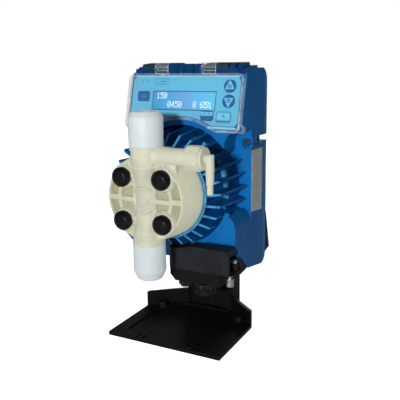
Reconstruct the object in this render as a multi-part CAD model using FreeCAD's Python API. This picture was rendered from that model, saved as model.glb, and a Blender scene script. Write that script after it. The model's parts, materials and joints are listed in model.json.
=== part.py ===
"""Electromagnetic diaphragm metering pump on a table bracket, one STEP file per piece.

Millimetres. +Z is up, the pump head faces -Y and +X is to the right of someone facing the head.
The origin lies on the underside of the base plate, midway between its front and rear fixing holes.
"""
import FreeCAD, Part
import math
import os

V = FreeCAD.Vector

# ------------------------------------------------------------------ driving dimensions
WIDTH = 107.0                # housing, clear cover and base plate share one width
SEAT = 0.0                   # faces of pieces that are screwed together touch
FIT = 0.3                    # gap round pieces that drop into a pocket
RUNNING = 0.06               # radial clearance of a turning or sliding shaft

# Base plate and upright of the mounting bracket
BASE_FRONT_Y = -37.8         # front edge of the base plate
BASE_SIDE_END_Y = 29.0       # where the straight sides end and the slanted rear walls start
BASE_THICK = 3.2
BASE_RECESS = 1.2            # depth of the sunk floor inside the base plate's border
BASE_BORDER = 9.0
FRONT_HOLES_Y = -32.0
FRONT_HOLE_SPACING = 47.0
REAR_HOLES_Y = 32.0
REAR_HOLE_SPACING = 80.0
BASE_HOLE_R = 2.25
COLUMN_WIDTH = 47.3
COLUMN_FRONT_Y = 53.2
BRACKET_WALL = 3.0
REAR_WALL_TOP_Z = 16.9       # top of the slanted walls at the back of the base plate
SADDLE_BOTTOM_Z = 62.0
SADDLE_TOP_Z = 99.0
SADDLE_DEPTH = 11.5          # the saddle's depth at its foot; it thins to nothing at the top

# Blue housing
HOUSING_REAR_Y = 59.0
COVER_SEAM_Y = 53.0          # joint between the front housing and the rear cover
STEP_Y = 25.0                # wall that carries the solenoid barrel
LEG_FRONT_Y = 3.0            # upright face below the control panel
BLOCK_FRONT_Y = -7.5         # front of the lower block
BLOCK_TOP_Z = 113.0
HOUSING_WALL = 3.0
ROOF_FRONT_Z = 222.6
ROOF_REAR_Z = 227.6
FLOOR_FRONT_Y = 19.0
FLOOR_FRONT_Z = 59.6
FLOOR_REAR_Z = 52.6
SLANT_TOP_Z = 87.0           # upper edge of the slanted face that carries the terminal box
SCREW_POCKET_X = 50.5
SCREW_POCKET_Z = 166.0
SCREW_POCKET_R = 5.2
RELIEF_R = 13.0              # scoop round each screw pocket
SIDE_NOTCH_DEPTH = 9.5
SIDE_NOTCH_HEIGHT = 5.0
SIDE_NOTCH_LENGTH = 14.0

# Control panel, in its own tilted plane
PANEL_TILT = 14.0            # lean of the panel from upright, degrees
PANEL_TOP_Y = 15.3
PANEL_TOP_Z = 220.1
PANEL_ARCH_R = 56.4          # arch of the panel over the barrel, in the panel's plane
PANEL_ARCH_CROWN = 36.5      # highest point of that arch, down the slope
PANEL_FOOT_R = 7.0           # rounding where the arch meets the bottom edge
PLATEAU = 2.0                # raised ground below the keypad sheet
KEYPAD_THICK = 0.8
KEYPAD_SIDE = 3.3            # strip of the housing left beside the keypad sheet
KEYPAD_TOP = 1.8             # upper and lower edge of the keypad sheet, down the slope
KEYPAD_BOTTOM = 41.0
KEYPAD_ARCH_MARGIN = 2.4
KEY_RISE = 0.5               # how far a key stands above the sheet
KEY_TRAVEL = 0.6
KEY_GAP = 0.25
KEY_THICK = 2.4
LCD_WIDTH = 58.0
LCD_HEIGHT = 14.6
LCD_TOP = 13.8               # distance of the display's top edge down the slope
COVER_DEPTH = 6.0
COVER_WALL = 1.4
COVER_GAP = 0.3
COVER_SIDE = 0.2             # how far the cover's sides lie inside the housing's
COVER_TOP = -0.7
COVER_BOTTOM = 46.0
TAB_R = 3.2                  # finger tab at the cover's lower right corner
TAB_OUT = 0.6                # its centre's place beyond the housing's side
SIDE_KEY_OUT = 1.4           # up and down keys, outwards of the middle of the strip beside the display
MODE_KEY_IN = 0.6            # mode key, inwards of the middle of its strip
START_KEY_SHARE = 0.458      # places of the lower keys as a share of the keypad's half width
ESCAPE_KEY_SHARE = 0.753
BOARD_MARGIN = 14.0          # circuit board beyond each side of the display
BOARD_TOP = 4.0
BOARD_BOTTOM = 34.0

# Hinge of the clear cover
HINGE_Y = 13.5
HINGE_Z = 227.6
HINGE_PIN_R = 1.4
LUG_R = 3.2
LUG_WIDTH = 13.0
LUG_X = 22.0
EAR_THICK = 3.0
EAR_GAP = 0.3
CLIP_WIDTH = 10.4            # dark clip at the outer end of each hinge pin
CLIP_Y = (10.4, 16.8)
CLIP_Z = (226.0, 230.0)
PIN_GRIP = 6.0               # length of the pin inside its clip
RAIL_OUT = 8.1               # end of the rail beyond the clip
HINGE_CLEAR_R = 5.8          # nothing fixed lies further from the hinge in the cover's way

# Solenoid barrel and its axis
AXIS_Z = 130.0               # height of the pumping axis
BARREL_FRONT_Y = -26.5
BARREL_RING_R = 36.9
BARREL_ROOT_R = 37.0         # body between the fins, front part
BARREL_REAR_ROOT_R = 42.0    # body between the fins behind the step
BARREL_ROOT_STEP_Y = 6.0
FIN_COUNT = 28
FIN_THICK = 1.9
FIN_FRONT_R = 46.0
FIN_REAR_R = 50.4
FIN_CLEARANCE = 0.5
BARREL_BORE_R = 31.0
BARREL_FACE_THICK = 6.5
SPIGOT_R = 40.0
SPIGOT_LENGTH = 2.5

# Solenoid
COIL_R = 26.5
CAN_THICK = 3.0
CORE_R = 13.0
ROD_R = 4.0
STROKE = 1.25
AIR_GAP = 0.35               # left between armature and core at full stroke
CORE_LENGTH = 17.0
ARMATURE_LENGTH = 22.0
SPRING_R = 8.0
SPRING_WIRE = 1.2
SPRING_TURNS = 4

# Pump head
HEAD_BACK_R = 35.5
HEAD_FRONT_R = 33.5
HEAD_FRONT_Y = -56.0
BOLT_X = 17.4
BOLT_Z = 17.0
BOLT_R = 2.5
BOLT_HEAD_R = 4.25
BOLT_HEAD_LENGTH = 5.0
TOWER_R = 9.4
TOWER_FRONT_Y = -58.4
CAP_R = 7.6
CAP_THICK = 6.0
CAP_SPIGOT_R = 5.4           # part of a cap inside its tower
CAP_SPIGOT = 2.6
CRESCENT_OUTER_R = 31.6
CRESCENT_INNER_R = 24.5
CRESCENT_DEPTH = 3.8
CRESCENT_RIB = 4.4
CRESCENT_END = 58.0          # end of each crescent, degrees from level
INNER_POCKET_DEPTH = 2.5     # shallow pockets between the hub and the towers
WINDOW_WIDTH = 2.7           # slots beside the valve column
WINDOW_DEPTH = 4.0
DIAPHRAGM_R = 20.6
DIAPHRAGM_RIM = 3.6
DIAPHRAGM_THICK = 2.2
DISC_R = 11.5
CHAMBER_CLEARANCE = 0.8      # left in front of the diaphragm at full stroke

# Valves, hose nuts and bleed branch
VALVE_Y = -51.0
NECK_R = 12.0
DISCHARGE_REACH = 37.5       # from the pumping axis to the end of each neck
SUCTION_REACH = 32.6
BULGE_R = 8.2
CARTRIDGE_R = 6.8
FLANGE_R = 12.8
FLANGE_THICK = 2.2
STUB_R = 10.2
STUB_LENGTH = 14.0
CARTRIDGE_START = 12.0       # inner end of each cartridge bore, from the pumping axis
BALL_R = 3.175
BALL_LIFT = 1.5
SEAT_BORE_R = 2.2
SEAT_RING_R = 4.8
SEAT_RING_LENGTH = 4.0
DISCHARGE_NUT_R = 13.3
SUCTION_NUT_R = 12.9
DISCHARGE_NUT_LENGTH = 26.2
SUCTION_NUT_LENGTH = 28.9
NUT_FLATS = 16
NUT_HOLE_R = 3.3
NUT_END_THICK = 6.0
HOSE_SPIGOT_R = 2.0
HOSE_SEAL_THICK = 1.6
CONE_CLEARANCE = 0.5         # between the hose cone's tip and the nut's end wall
BLEED_RISE = 33.6            # bleed axis above the pumping axis
BRANCH_R = 6.3
BRANCH_END_X = 36.0
STUB_BLEED_R = 4.6           # threaded stub that the bleed knob turns on
BLEED_STUB = 7.0
KNOB_ACROSS = 18.0
KNOB_LENGTH = 11.0
COLLAR_R = 8.2
COLLAR_LENGTH = 2.4
ELBOW_R = 3.2
ELBOW_END_R = 2.85           # the elbow's arm narrows to this at its lower end
ELBOW_STEM_R = 2.8
ELBOW_FLANGE_THICK = 1.6
ELBOW_TOP = 3.2              # square corner above the stem's axis
ELBOW_DROP = 18.6
BARB_R = 2.35
BARB_LENGTH = 7.4

# Terminal box below the housing
TERMINAL_LEFT_X = -3.0
TERMINAL_RIGHT_X = 53.2
TERMINAL_FRONT_Y = -20.0
TERMINAL_TOP_Z = 85.0
TERMINAL_BOTTOM_Z = 64.0     # lower edge of the front face
TERMINAL_HEEL_Z = 58.7       # lowest point, where the box meets the housing
TERMINAL_CHAMFER = 4.0
TERMINAL_RELIEF_R = 48.2     # hollow in the box's top that clears the barrel's fins
TERMINAL_WALL = 2.6
GLAND_BLOCK_Z = 52.4         # underside of the block that carries the glands
GLAND_BLOCK_X = (-2.0, 43.6)
PLUG_X = 10.0
PLUG_Y = -12.0
PLUG_R = 5.6
PLUG_DROP = 5.0
GLAND_X = 28.0
GLAND_Y = -11.0
GLAND_R = 8.5
GLAND_DROP = 12.0
GLAND_HEX = 3.4              # height of the gland body's six-sided flange
CABLE_R = 3.0
SLOT_DEPTH = 8.6             # open slot in the box's right end
SLOT_Y = (-17.2, 6.0)
SLOT_Z = (63.0, 79.5)
EARTH_X = 48.4
EARTH_Y = 1.2
EARTH_POST_R = 4.2
EARTH_POST_Z = 69.0
SOCKET_X = 48.5
SOCKET_Y = -6.8
SOCKET_R = 3.3
SOCKET_Z = (51.0, 58.2)

# Derived places
HALF = WIDTH / 2
TILT_SIN = math.sin(math.radians(PANEL_TILT))
TILT_COS = math.cos(math.radians(PANEL_TILT))
BLEED_Z = AXIS_Z + BLEED_RISE
PANEL_ARCH_DOWN = PANEL_ARCH_CROWN + PANEL_ARCH_R
KEYPAD_HALF = HALF - KEYPAD_SIDE
COVER_HALF = HALF - COVER_SIDE
KEY_MIDDLE = (LCD_WIDTH / 2 + KEYPAD_HALF) / 2
BOLT_SEAT_Y = TOWER_FRONT_Y + CAP_SPIGOT + BOLT_HEAD_LENGTH + 0.6
CHAMBER_Y = BARREL_FRONT_Y - DIAPHRAGM_THICK - STROKE - CHAMBER_CLEARANCE
CAN_FRONT_Y = BARREL_FRONT_Y + BARREL_FACE_THICK
CORE_FRONT_Y = CAN_FRONT_Y + CAN_THICK
CORE_REAR_Y = CORE_FRONT_Y + CORE_LENGTH
ARMATURE_FRONT_Y = CORE_REAR_Y + STROKE + AIR_GAP
ARMATURE_REAR_Y = ARMATURE_FRONT_Y + ARMATURE_LENGTH
CAN_REAR_Y = ARMATURE_REAR_Y + 3.0
GUIDE_R = CORE_R + 1.2
BOBBIN_R = GUIDE_R + 1.6
ELBOW_FLANGE_X = BRANCH_END_X + 8.6
KNOB_END_X = BRANCH_END_X + FIT + KNOB_LENGTH + COLLAR_LENGTH
ELBOW_X = KNOB_END_X + FIT + ELBOW_R
ROOF_SLOPE = (ROOF_REAR_Z - ROOF_FRONT_Z) / (HOUSING_REAR_Y - PANEL_TOP_Y)


# ------------------------------------------------------------------ helpers
def corner_points(points, closed=True):
    """Turn (a, b, radius) corners into (start, middle, end) of their rounding."""
    result = []
    for index, (a, b, radius) in enumerate(points):
        here = V(a, b, 0)
        before = points[index - 1]
        after = points[(index + 1) % len(points)]
        back = V(before[0], before[1], 0) - here
        ahead = V(after[0], after[1], 0) - here
        if radius <= 0:
            result.append((here, None, here))
            continue
        half_turn = back.getAngle(ahead) / 2
        back.normalize()
        ahead.normalize()
        reach = radius / math.tan(half_turn)
        middle_way = (back + ahead).normalize()
        middle = here + middle_way * (radius / math.sin(half_turn) - radius)
        result.append((here + back * reach, middle, here + ahead * reach))
    return result


def outline(points, place):
    """Closed wire through rounded corners; place(a, b) gives the point in space."""
    corners = corner_points(points)
    edges = []
    for index, (start, middle, end) in enumerate(corners):
        if middle is not None:
            arc = Part.Arc(place(start.x, start.y), place(middle.x, middle.y), place(end.x, end.y))
            edges.append(arc.toShape())
        following = corners[(index + 1) % len(corners)][0]
        if (following - end).Length > 1e-6:
            edges.append(Part.LineSegment(place(end.x, end.y), place(following.x, following.y)).toShape())
    return Part.Wire(edges)


def sharp(points):
    """Give plain (a, b) corners a radius of nothing."""
    return [(a, b, 0) for a, b in points]


def prism(axis, points, low, high):
    """Extrude an outline along an axis. Its coordinates are (y, z), (x, z) or (x, y)."""
    place, way = {
        "x": (lambda a, b: V(low, a, b), V(high - low, 0, 0)),
        "y": (lambda a, b: V(a, low, b), V(0, high - low, 0)),
        "z": (lambda a, b: V(a, b, low), V(0, 0, high - low)),
    }[axis]
    return Part.Face(outline(points, place)).extrude(way)


def turned(axis, points, first=0.0, second=0.0):
    """Revolve (radius, distance along the axis, corner) about a line parallel to an axis.

    first and second are the line's other two coordinates, in X, Y, Z order.
    """
    place, base, way = {
        "x": (lambda r, d: V(d, first + r, second), V(0, first, second), V(1, 0, 0)),
        "y": (lambda r, d: V(first + r, d, second), V(first, 0, second), V(0, 1, 0)),
        "z": (lambda r, d: V(first + r, second, d), V(first, second, 0), V(0, 0, 1)),
    }[axis]
    return Part.Face(outline(points, place)).revolve(base, way, 360)


def rod(axis, radius, low, high, first=0.0, second=0.0):
    """Round bar along an axis between two distances."""
    base = {"x": V(low, first, second), "y": V(first, low, second), "z": V(first, second, low)}[axis]
    way = {"x": V(1, 0, 0), "y": V(0, 1, 0), "z": V(0, 0, 1)}[axis]
    return Part.makeCylinder(radius, high - low, base, way)


def tube(axis, outer, inner, low, high, first=0.0, second=0.0):
    """Round bar with a round hole through it."""
    return rod(axis, outer, low, high, first, second).cut(rod(axis, inner, low - 1, high + 1, first, second))


def block(x_range, y_range, z_range):
    """Rectangular block between three pairs of limits."""
    size = [high - low for low, high in (x_range, y_range, z_range)]
    return Part.makeBox(*size, V(x_range[0], y_range[0], z_range[0]))


def mirrored(shape):
    """The same shape on the other side of the centre plane."""
    return shape.mirror(V(0, 0, 0), V(1, 0, 0))


def fused(shapes):
    """One solid from overlapping shapes, with leftover seams removed."""
    shapes = list(shapes)
    return shapes[0].multiFuse(shapes[1:]).removeSplitter()


def regular(count, across, turn=0.0):
    """Corners of a regular polygon with the given distance across flats."""
    radius = across / 2 / math.cos(math.pi / count)
    angles = [2 * math.pi * (step + 0.5) / count + turn for step in range(count)]
    return [(radius * math.cos(angle), radius * math.sin(angle)) for angle in angles]


def moved(points, first, second):
    """Shift plain or rounded outline points."""
    return [(point[0] + first, point[1] + second) + tuple(point[2:]) for point in points]


def inset_outline(points, inset):
    """Move each side of a rounded outline inwards, keeping its corners."""
    area = sum(points[i - 1][0] * points[i][1] - points[i][0] * points[i - 1][1] for i in range(len(points)))
    sign = 1.0 if area > 0 else -1.0
    lines = []
    for index in range(len(points)):
        a0, b0 = points[index][:2]
        a1, b1 = points[(index + 1) % len(points)][:2]
        length = math.hypot(a1 - a0, b1 - b0)
        normal = (-(b1 - b0) / length * sign, (a1 - a0) / length * sign)
        lines.append((a0 + normal[0] * inset, b0 + normal[1] * inset, a1 - a0, b1 - b0))
    result = []
    for index, (_, _, radius) in enumerate(points):
        a0, b0, da0, db0 = lines[index - 1]
        a1, b1, da1, db1 = lines[index]
        cross = da0 * db1 - db0 * da1
        step = ((a1 - a0) * db1 - (b1 - b0) * da1) / cross
        result.append((a0 + da0 * step, b0 + db0 * step, max(radius - inset, 0)))
    return result


def on_panel(shape):
    """Carry a shape from the panel's own plane (X right, Y up the slope, Z outwards) to the pump."""
    placed = shape.copy()
    turn = FreeCAD.Rotation(V(1, 0, 0), 90 - PANEL_TILT)
    placed.Placement = FreeCAD.Placement(V(0, PANEL_TOP_Y, PANEL_TOP_Z), turn).multiply(placed.Placement)
    return placed


def panel_point(down, out):
    """(y, z) of a point on the centre plane: down the slope and out from the housing's face."""
    return (PANEL_TOP_Y - down * TILT_SIN - out * TILT_COS, PANEL_TOP_Z - down * TILT_COS + out * TILT_SIN)


# ------------------------------------------------------------------ housing
def roof_z(y):
    """Height of the sloping roof at a distance back."""
    return ROOF_REAR_Z + (y - HOUSING_REAR_Y) * ROOF_SLOPE


def side_outline():
    """The housing seen from the side, as rounded (y, z) corners."""
    roof_front = panel_point(-(ROOF_FRONT_Z - PANEL_TOP_Z) / TILT_COS, 0)
    leg_drop = (PANEL_TOP_Y - LEG_FRONT_Y) / TILT_SIN
    leg_top = panel_point(leg_drop, 0)
    waist_z = (BLOCK_TOP_Z + AXIS_Z) / 2
    return [
        (roof_front[0], ROOF_FRONT_Z, 2.0),
        (HOUSING_REAR_Y, ROOF_REAR_Z, 11.0),
        (HOUSING_REAR_Y, FLOOR_REAR_Z, 9.0),
        (FLOOR_FRONT_Y, FLOOR_FRONT_Z, 2.5),
        (BLOCK_FRONT_Y, SLANT_TOP_Z, 2.5),
        (BLOCK_FRONT_Y, waist_z, 0),
        (LEG_FRONT_Y, waist_z, 0),
        (leg_top[0], leg_top[1], 0),
    ]


def housing_mass(inset):
    """The housing as a solid, every face moved inwards by inset."""
    side = prism("x", inset_outline(side_outline(), inset), -HALF + inset, HALF - inset)
    depth = (BLOCK_FRONT_Y - 5, STEP_Y + inset)
    main = prism("y", sharp([(-HALF, 0), (HALF, 0), (HALF, 250), (-HALF, 250)]), STEP_Y + inset, 80)
    reach = HALF - inset
    upper = block((-reach, reach), depth, (AXIS_Z + 28 + inset, 250))
    lower_corners = [
        (-reach, 30, 0), (reach, 30, 0),
        (reach, BLOCK_TOP_Z - inset, 14 - inset), (-reach, BLOCK_TOP_Z - inset, 14 - inset),
    ]
    lower = prism("y", lower_corners, *depth)
    cradle = rod("y", FIN_REAR_R + FIN_CLEARANCE + inset, depth[0] - 1, depth[1], 0, AXIS_Z)
    scoop = rod("y", RELIEF_R + inset, depth[0] - 1, depth[1], SCREW_POCKET_X + 1.5, SCREW_POCKET_Z - 1)
    front = upper.fuse(lower).cut(cradle).cut(scoop).cut(mirrored(scoop))
    return side.common(main.fuse(front))


def screw_posts(low_y, high_y, radius):
    """Posts at the housing's four corner screws."""
    posts = []
    for x, z in cover_screw_places():
        posts.append(rod("y", radius, low_y, high_y, x, z))
    return posts


def cover_screw_places():
    """(x, z) of the four screws that hold the rear cover."""
    low_z = FLOOR_REAR_Z + 14.0
    high_z = ROOF_REAR_Z - 14.0
    x = HALF - 6.5
    return [(-x, high_z), (x, high_z), (-x, low_z), (x, low_z)]


def hinge_lug_edges():
    """Left and right x of the cover's right-hand lug."""
    return LUG_X - LUG_WIDTH / 2, LUG_X + LUG_WIDTH / 2


def lid_sweep():
    """Space in front of the roof that the opening cover passes through."""
    ring = tube("x", 60, HINGE_CLEAR_R, -HALF - 5, HALF + 5, HINGE_Y, HINGE_Z)
    wedge = prism("x", sharp([
        (HINGE_Y, HINGE_Z), (HINGE_Y + 15, HINGE_Z - 50), (HINGE_Y - 80, HINGE_Z - 50), (HINGE_Y - 80, HINGE_Z + 80),
        (HINGE_Y - 40, HINGE_Z + 80),
    ]), -HALF - 5, HALF + 5)
    return ring.common(wedge)


def roof_shoulder(front):
    """Raised corner of the roof on the right side, from its front face back."""
    rear = HINGE_Y + 23.5
    side = [
        (front, roof_z(front) - HOUSING_WALL + 0.5, 0), (rear, roof_z(rear) - HOUSING_WALL, 0),
        (rear, roof_z(rear) + 3.3, 1.0), (front, roof_z(front) + 3.6, 1.0),
    ]
    return prism("x", side, HALF - 5.5, HALF)


def roof_details():
    """Ears, rails, pads and corner shoulders on both sides of the roof, and the middle ribs."""
    inner, outer = hinge_lug_edges()
    low_z = roof_z(HINGE_Y) - HOUSING_WALL
    rail_top = CLIP_Z[0]
    ear = [
        (CLIP_Y[0], low_z, 0), (CLIP_Y[1], low_z, 0), (CLIP_Y[1], CLIP_Z[1], 1.5), (CLIP_Y[0], CLIP_Z[1], 1.5),
    ]
    rail = sharp([(CLIP_Y[0], low_z), (CLIP_Y[1], low_z), (CLIP_Y[1], rail_top), (CLIP_Y[0], rail_top)])
    clip_end = outer + EAR_GAP + CLIP_WIDTH
    pieces = [
        prism("x", ear, inner - EAR_GAP - EAR_THICK, inner - EAR_GAP),
        prism("x", rail, outer + EAR_GAP, clip_end + RAIL_OUT),
    ]
    outer_ear = prism("x", ear, clip_end + 1.6, clip_end + 1.6 + EAR_THICK)
    pad_front, pad_rear = HINGE_Y + 7.2, HINGE_Y + 23.2
    pad = [
        (pad_front, low_z, 0), (pad_rear, low_z, 0), (pad_rear, roof_z(pad_rear) + 5.9, 2.0),
        (pad_front, roof_z(pad_front) + 6.6, 2.0),
    ]
    pieces.append(prism("x", pad, inner - 2, HALF - 6.5))
    pieces.append(roof_shoulder(HINGE_Y + 0.6))
    middle = []
    for x in (-11.1, -3.7, 3.7, 11.1):
        rib = [
            (HINGE_Y - 4.0, low_z, 0), (HINGE_Y + 9.5, low_z, 0), (HINGE_Y + 9.5, CLIP_Z[1], 2.0),
            (HINGE_Y - 2.5, CLIP_Z[1], 2.0), (HINGE_Y - 4.0, CLIP_Z[1] - 4, 0),
        ]
        middle.append(prism("x", rib, x - 0.7, x + 0.7))
    left = [mirrored(piece) for piece in pieces[:-1]] + [mirrored(roof_shoulder(HINGE_Y + 10.5))]
    details = pieces + [outer_ear] + left + middle
    sweep = lid_sweep()
    return [detail.cut(sweep) for detail in details]


def hinge_clips():
    """Dark clips that hold the outer ends of the hinge pins, one on each side."""
    _, outer = hinge_lug_edges()
    start = outer + EAR_GAP
    section = [(CLIP_Y[0], CLIP_Z[0], 0), (CLIP_Y[1], CLIP_Z[0], 0), (CLIP_Y[1], CLIP_Z[1], 1.2),
               (CLIP_Y[0], CLIP_Z[1], 1.2)]
    clip = prism("x", section, start, start + CLIP_WIDTH)
    clip = clip.cut(rod("x", HINGE_PIN_R, start - 1, start + PIN_GRIP, HINGE_Y, HINGE_Z))
    return Part.makeCompound([clip, mirrored(clip)])


def panel_shape(half, top, bottom, arch_r, low, high, corner):
    """Slab in the panel's plane: rounded corners and an arch over the barrel, with soft feet."""
    slab = prism("z", [(-half, -bottom, corner), (half, -bottom, corner), (half, -top, corner),
                       (-half, -top, corner)], low, high)
    slab = slab.cut(rod("z", arch_r, low - 1, high + 1, 0, -PANEL_ARCH_DOWN))
    foot_x = math.sqrt(arch_r ** 2 - (PANEL_ARCH_DOWN - bottom) ** 2)
    feet = [edge for edge in slab.Edges if abs(abs(edge.CenterOfMass.x) - foot_x) < 0.01
            and abs(edge.CenterOfMass.y + bottom) < 0.01]
    return slab.makeFillet(max(PANEL_FOOT_R + PANEL_ARCH_R - arch_r, 2.0), feet)


def keypad_shape(low, high):
    """Slab with the keypad sheet's outline."""
    return panel_shape(KEYPAD_HALF, KEYPAD_TOP, KEYPAD_BOTTOM, PANEL_ARCH_R + KEYPAD_ARCH_MARGIN, low, high, 4.0)


# Each key: name, centre across, centre down the slope, width, height, corner radius
KEYS = [
    ("mode_key", MODE_KEY_IN - KEY_MIDDLE, 17.8, 11.6, 8.4, 2.0),
    ("up_key", KEY_MIDDLE + SIDE_KEY_OUT, 8.8, 10.4, 10.0, 4.9),
    ("down_key", KEY_MIDDLE + SIDE_KEY_OUT, 20.8, 10.4, 10.0, 4.9),
    ("start_key", KEYPAD_HALF * START_KEY_SHARE, 33.1, 11.2, 7.4, 1.8),
    ("escape_key", KEYPAD_HALF * ESCAPE_KEY_SHARE, 33.6, 12.8, 8.2, 1.8),
]


def key_outline(key, gap=0.0):
    """Rounded rectangle of a key, grown by gap, in the panel's plane."""
    _, across, down, width, height, radius = key
    half_w, half_h = width / 2 + gap, height / 2 + gap
    corner = min(radius + gap, half_w - 0.05, half_h - 0.05)
    return moved([(-half_w, -half_h, corner), (half_w, -half_h, corner), (half_w, half_h, corner),
                  (-half_w, half_h, corner)], across, -down)


def display_window(margin, low, high):
    """Rectangular block of the display's opening, in the panel's plane."""
    half = LCD_WIDTH / 2 + margin
    return block((-half, half), (-(LCD_TOP + LCD_HEIGHT) - margin, -LCD_TOP + margin), (low, high))


def front_housing():
    """Blue moulding: hollow, open at the rear, with the panel ground, cradle, scoops and roof details."""
    shell = housing_mass(0).cut(block((-80, 80), (COVER_SEAM_Y, 90), (0, 260)))
    shell = shell.cut(housing_mass(HOUSING_WALL))
    shell = fused([shell] + roof_details())
    plateau = on_panel(keypad_shape(-1.0, PLATEAU))
    posts = [post.common(housing_mass(1.0)) for post in screw_posts(STEP_Y + 3, COVER_SEAM_Y - SEAT, 4.4)]
    shell = fused([shell, plateau, notch_box(1), notch_box(-1)] + posts)
    cuts = [on_panel(display_window(0.6, -HOUSING_WALL - 1, PLATEAU + 1))]
    key_floor = PLATEAU + KEYPAD_THICK + KEY_RISE - KEY_THICK - KEY_TRAVEL - 0.2
    for key in KEYS:
        cuts.append(on_panel(prism("z", key_outline(key, KEY_GAP), key_floor, PLATEAU + 1)))
    cuts.append(rod("y", SPIGOT_R + 0.2, STEP_Y - 1, STEP_Y + HOUSING_WALL + 1, 0, AXIS_Z))
    for x, z in cover_screw_places():
        cuts.append(rod("y", 1.45, COVER_SEAM_Y - 20, COVER_SEAM_Y + 1, x, z))
    pocket = rod("y", SCREW_POCKET_R, STEP_Y - 1, STEP_Y + 2.4, SCREW_POCKET_X, SCREW_POCKET_Z)
    cuts += [pocket, mirrored(pocket)]
    groove = block((HALF - 0.8, HALF + 1), (STEP_Y + 8, STEP_Y + 20), (SCREW_POCKET_Z - 3, SCREW_POCKET_Z + 5))
    cuts += [groove, mirrored(groove)]
    for side in (-1, 1):
        cuts.append(hinge_pin(side))
        cuts.append(cover_notch(side))
    cuts.append(seal_ring(COVER_SEAM_Y - 0.9, COVER_SEAM_Y + 1, 0.0))
    cuts.append(terminal_window())
    for cut in cuts:
        shell = shell.cut(cut)
    return shell


def hinge_pin(side):
    """One hinge pin: through the inner ear and the cover's lug into the clip."""
    inner, outer = hinge_lug_edges()
    low, high = inner - EAR_GAP - EAR_THICK, outer + EAR_GAP + PIN_GRIP
    limits = (low, high) if side > 0 else (-high, -low)
    return rod("x", HINGE_PIN_R, limits[0], limits[1], HINGE_Y, HINGE_Z)


def cover_notch(side):
    """Slot in the side wall behind the screw pocket, open at the rear."""
    half_height = SIDE_NOTCH_HEIGHT / 2
    x = (HALF - SIDE_NOTCH_DEPTH, HALF + 1) if side > 0 else (-HALF - 1, -HALF + SIDE_NOTCH_DEPTH)
    z = (SCREW_POCKET_Z + 1.5 - half_height, SCREW_POCKET_Z + 1.5 + half_height)
    return block(x, (HOUSING_REAR_Y - SIDE_NOTCH_LENGTH, HOUSING_REAR_Y + 1), z)


def notch_box(side):
    """Walls that close the housing round the notch."""
    half_height = SIDE_NOTCH_HEIGHT / 2 + 2.0
    reach = HALF - SIDE_NOTCH_DEPTH - 2.0
    x = (reach, HALF - 0.5) if side > 0 else (-HALF + 0.5, -reach)
    z = (SCREW_POCKET_Z + 1.5 - half_height, SCREW_POCKET_Z + 1.5 + half_height)
    return block(x, (HOUSING_REAR_Y - SIDE_NOTCH_LENGTH - 2.0, COVER_SEAM_Y), z)


def rear_outline(inset):
    """The joint face between housing and rear cover, as rounded (x, z) corners."""
    reach = HALF - inset
    return [
        (-reach, FLOOR_REAR_Z + inset + 1.2, 2.0), (reach, FLOOR_REAR_Z + inset + 1.2, 2.0),
        (reach, ROOF_REAR_Z - inset - 2.6, 2.0), (-reach, ROOF_REAR_Z - inset - 2.6, 2.0),
    ]


def seal_ring(low_y, high_y, gap):
    """Flat ring that runs round the joint face."""
    outer = prism("y", rear_outline(1.1 + gap), low_y, high_y)
    inner = prism("y", rear_outline(2.2 - gap), low_y - 1, high_y + 1)
    ring = outer.cut(inner)
    keep_out = SCREW_POCKET_Z + 1.5
    for side in (-1, 1):
        x = (HALF - 6, HALF + 1) if side > 0 else (-HALF - 1, -HALF + 6)
        ring = ring.cut(block(x, (low_y - 2, high_y + 2), (keep_out - 4.8 - gap, keep_out + 4.8 + gap)))
    return ring


def terminal_window():
    """Opening in the slanted face through which the terminal box is wired."""
    return block((8, 42), (-9, 12), (64, 79)).common(housing_mass(-2.0))


def rear_cover():
    """Blue back shell with screw holes and the two side notches."""
    slab = housing_mass(0).common(block((-80, 80), (COVER_SEAM_Y + SEAT, 90), (0, 260)))
    hollow = housing_mass(HOUSING_WALL).common(block((-80, 80), (COVER_SEAM_Y - 5, HOUSING_REAR_Y - 2.6),
                                                     (0, 260)))
    cover = slab.cut(hollow)
    for post in screw_posts(COVER_SEAM_Y + SEAT, HOUSING_REAR_Y - 1, 4.4):
        cover = cover.fuse(post.common(slab))
    for x, z in cover_screw_places():
        cover = cover.cut(rod("y", 1.8, COVER_SEAM_Y - 1, HOUSING_REAR_Y + 1, x, z))
        cover = cover.cut(rod("y", 3.2, HOUSING_REAR_Y - 2.0, HOUSING_REAR_Y + 1, x, z))
    for side in (-1, 1):
        cover = cover.cut(cover_notch(side))
    for x, z in bracket_screw_places():
        cover = cover.cut(rod("y", 1.6, COVER_SEAM_Y - 1, HOUSING_REAR_Y + 1, x, z))
    cover = cover.cut(block((-2, 2), (HOUSING_REAR_Y - 0.8, HOUSING_REAR_Y + 1), (110, 200)))
    return cover.removeSplitter()


def cover_screws():
    """Four pan-head screws of the rear cover and the two in the scooped front pockets."""
    screws = pocket_screws()
    for x, z in cover_screw_places():
        head = turned("y", [(0, HOUSING_REAR_Y - 0.4, 0), (2.8, HOUSING_REAR_Y - 0.4, 0.8),
                            (2.8, HOUSING_REAR_Y - 2.0, 0), (1.4, HOUSING_REAR_Y - 2.0, 0),
                            (1.4, COVER_SEAM_Y - 12, 0), (0, COVER_SEAM_Y - 13.4, 0)], x, z)
        slot = block((x - 2.2, x + 2.2), (HOUSING_REAR_Y - 1.1, HOUSING_REAR_Y + 1), (z - 0.35, z + 0.35))
        cross = block((x - 0.35, x + 0.35), (HOUSING_REAR_Y - 1.1, HOUSING_REAR_Y + 1), (z - 2.2, z + 2.2))
        screws.append(head.cut(slot).cut(cross))
    return Part.makeCompound(screws)


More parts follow.
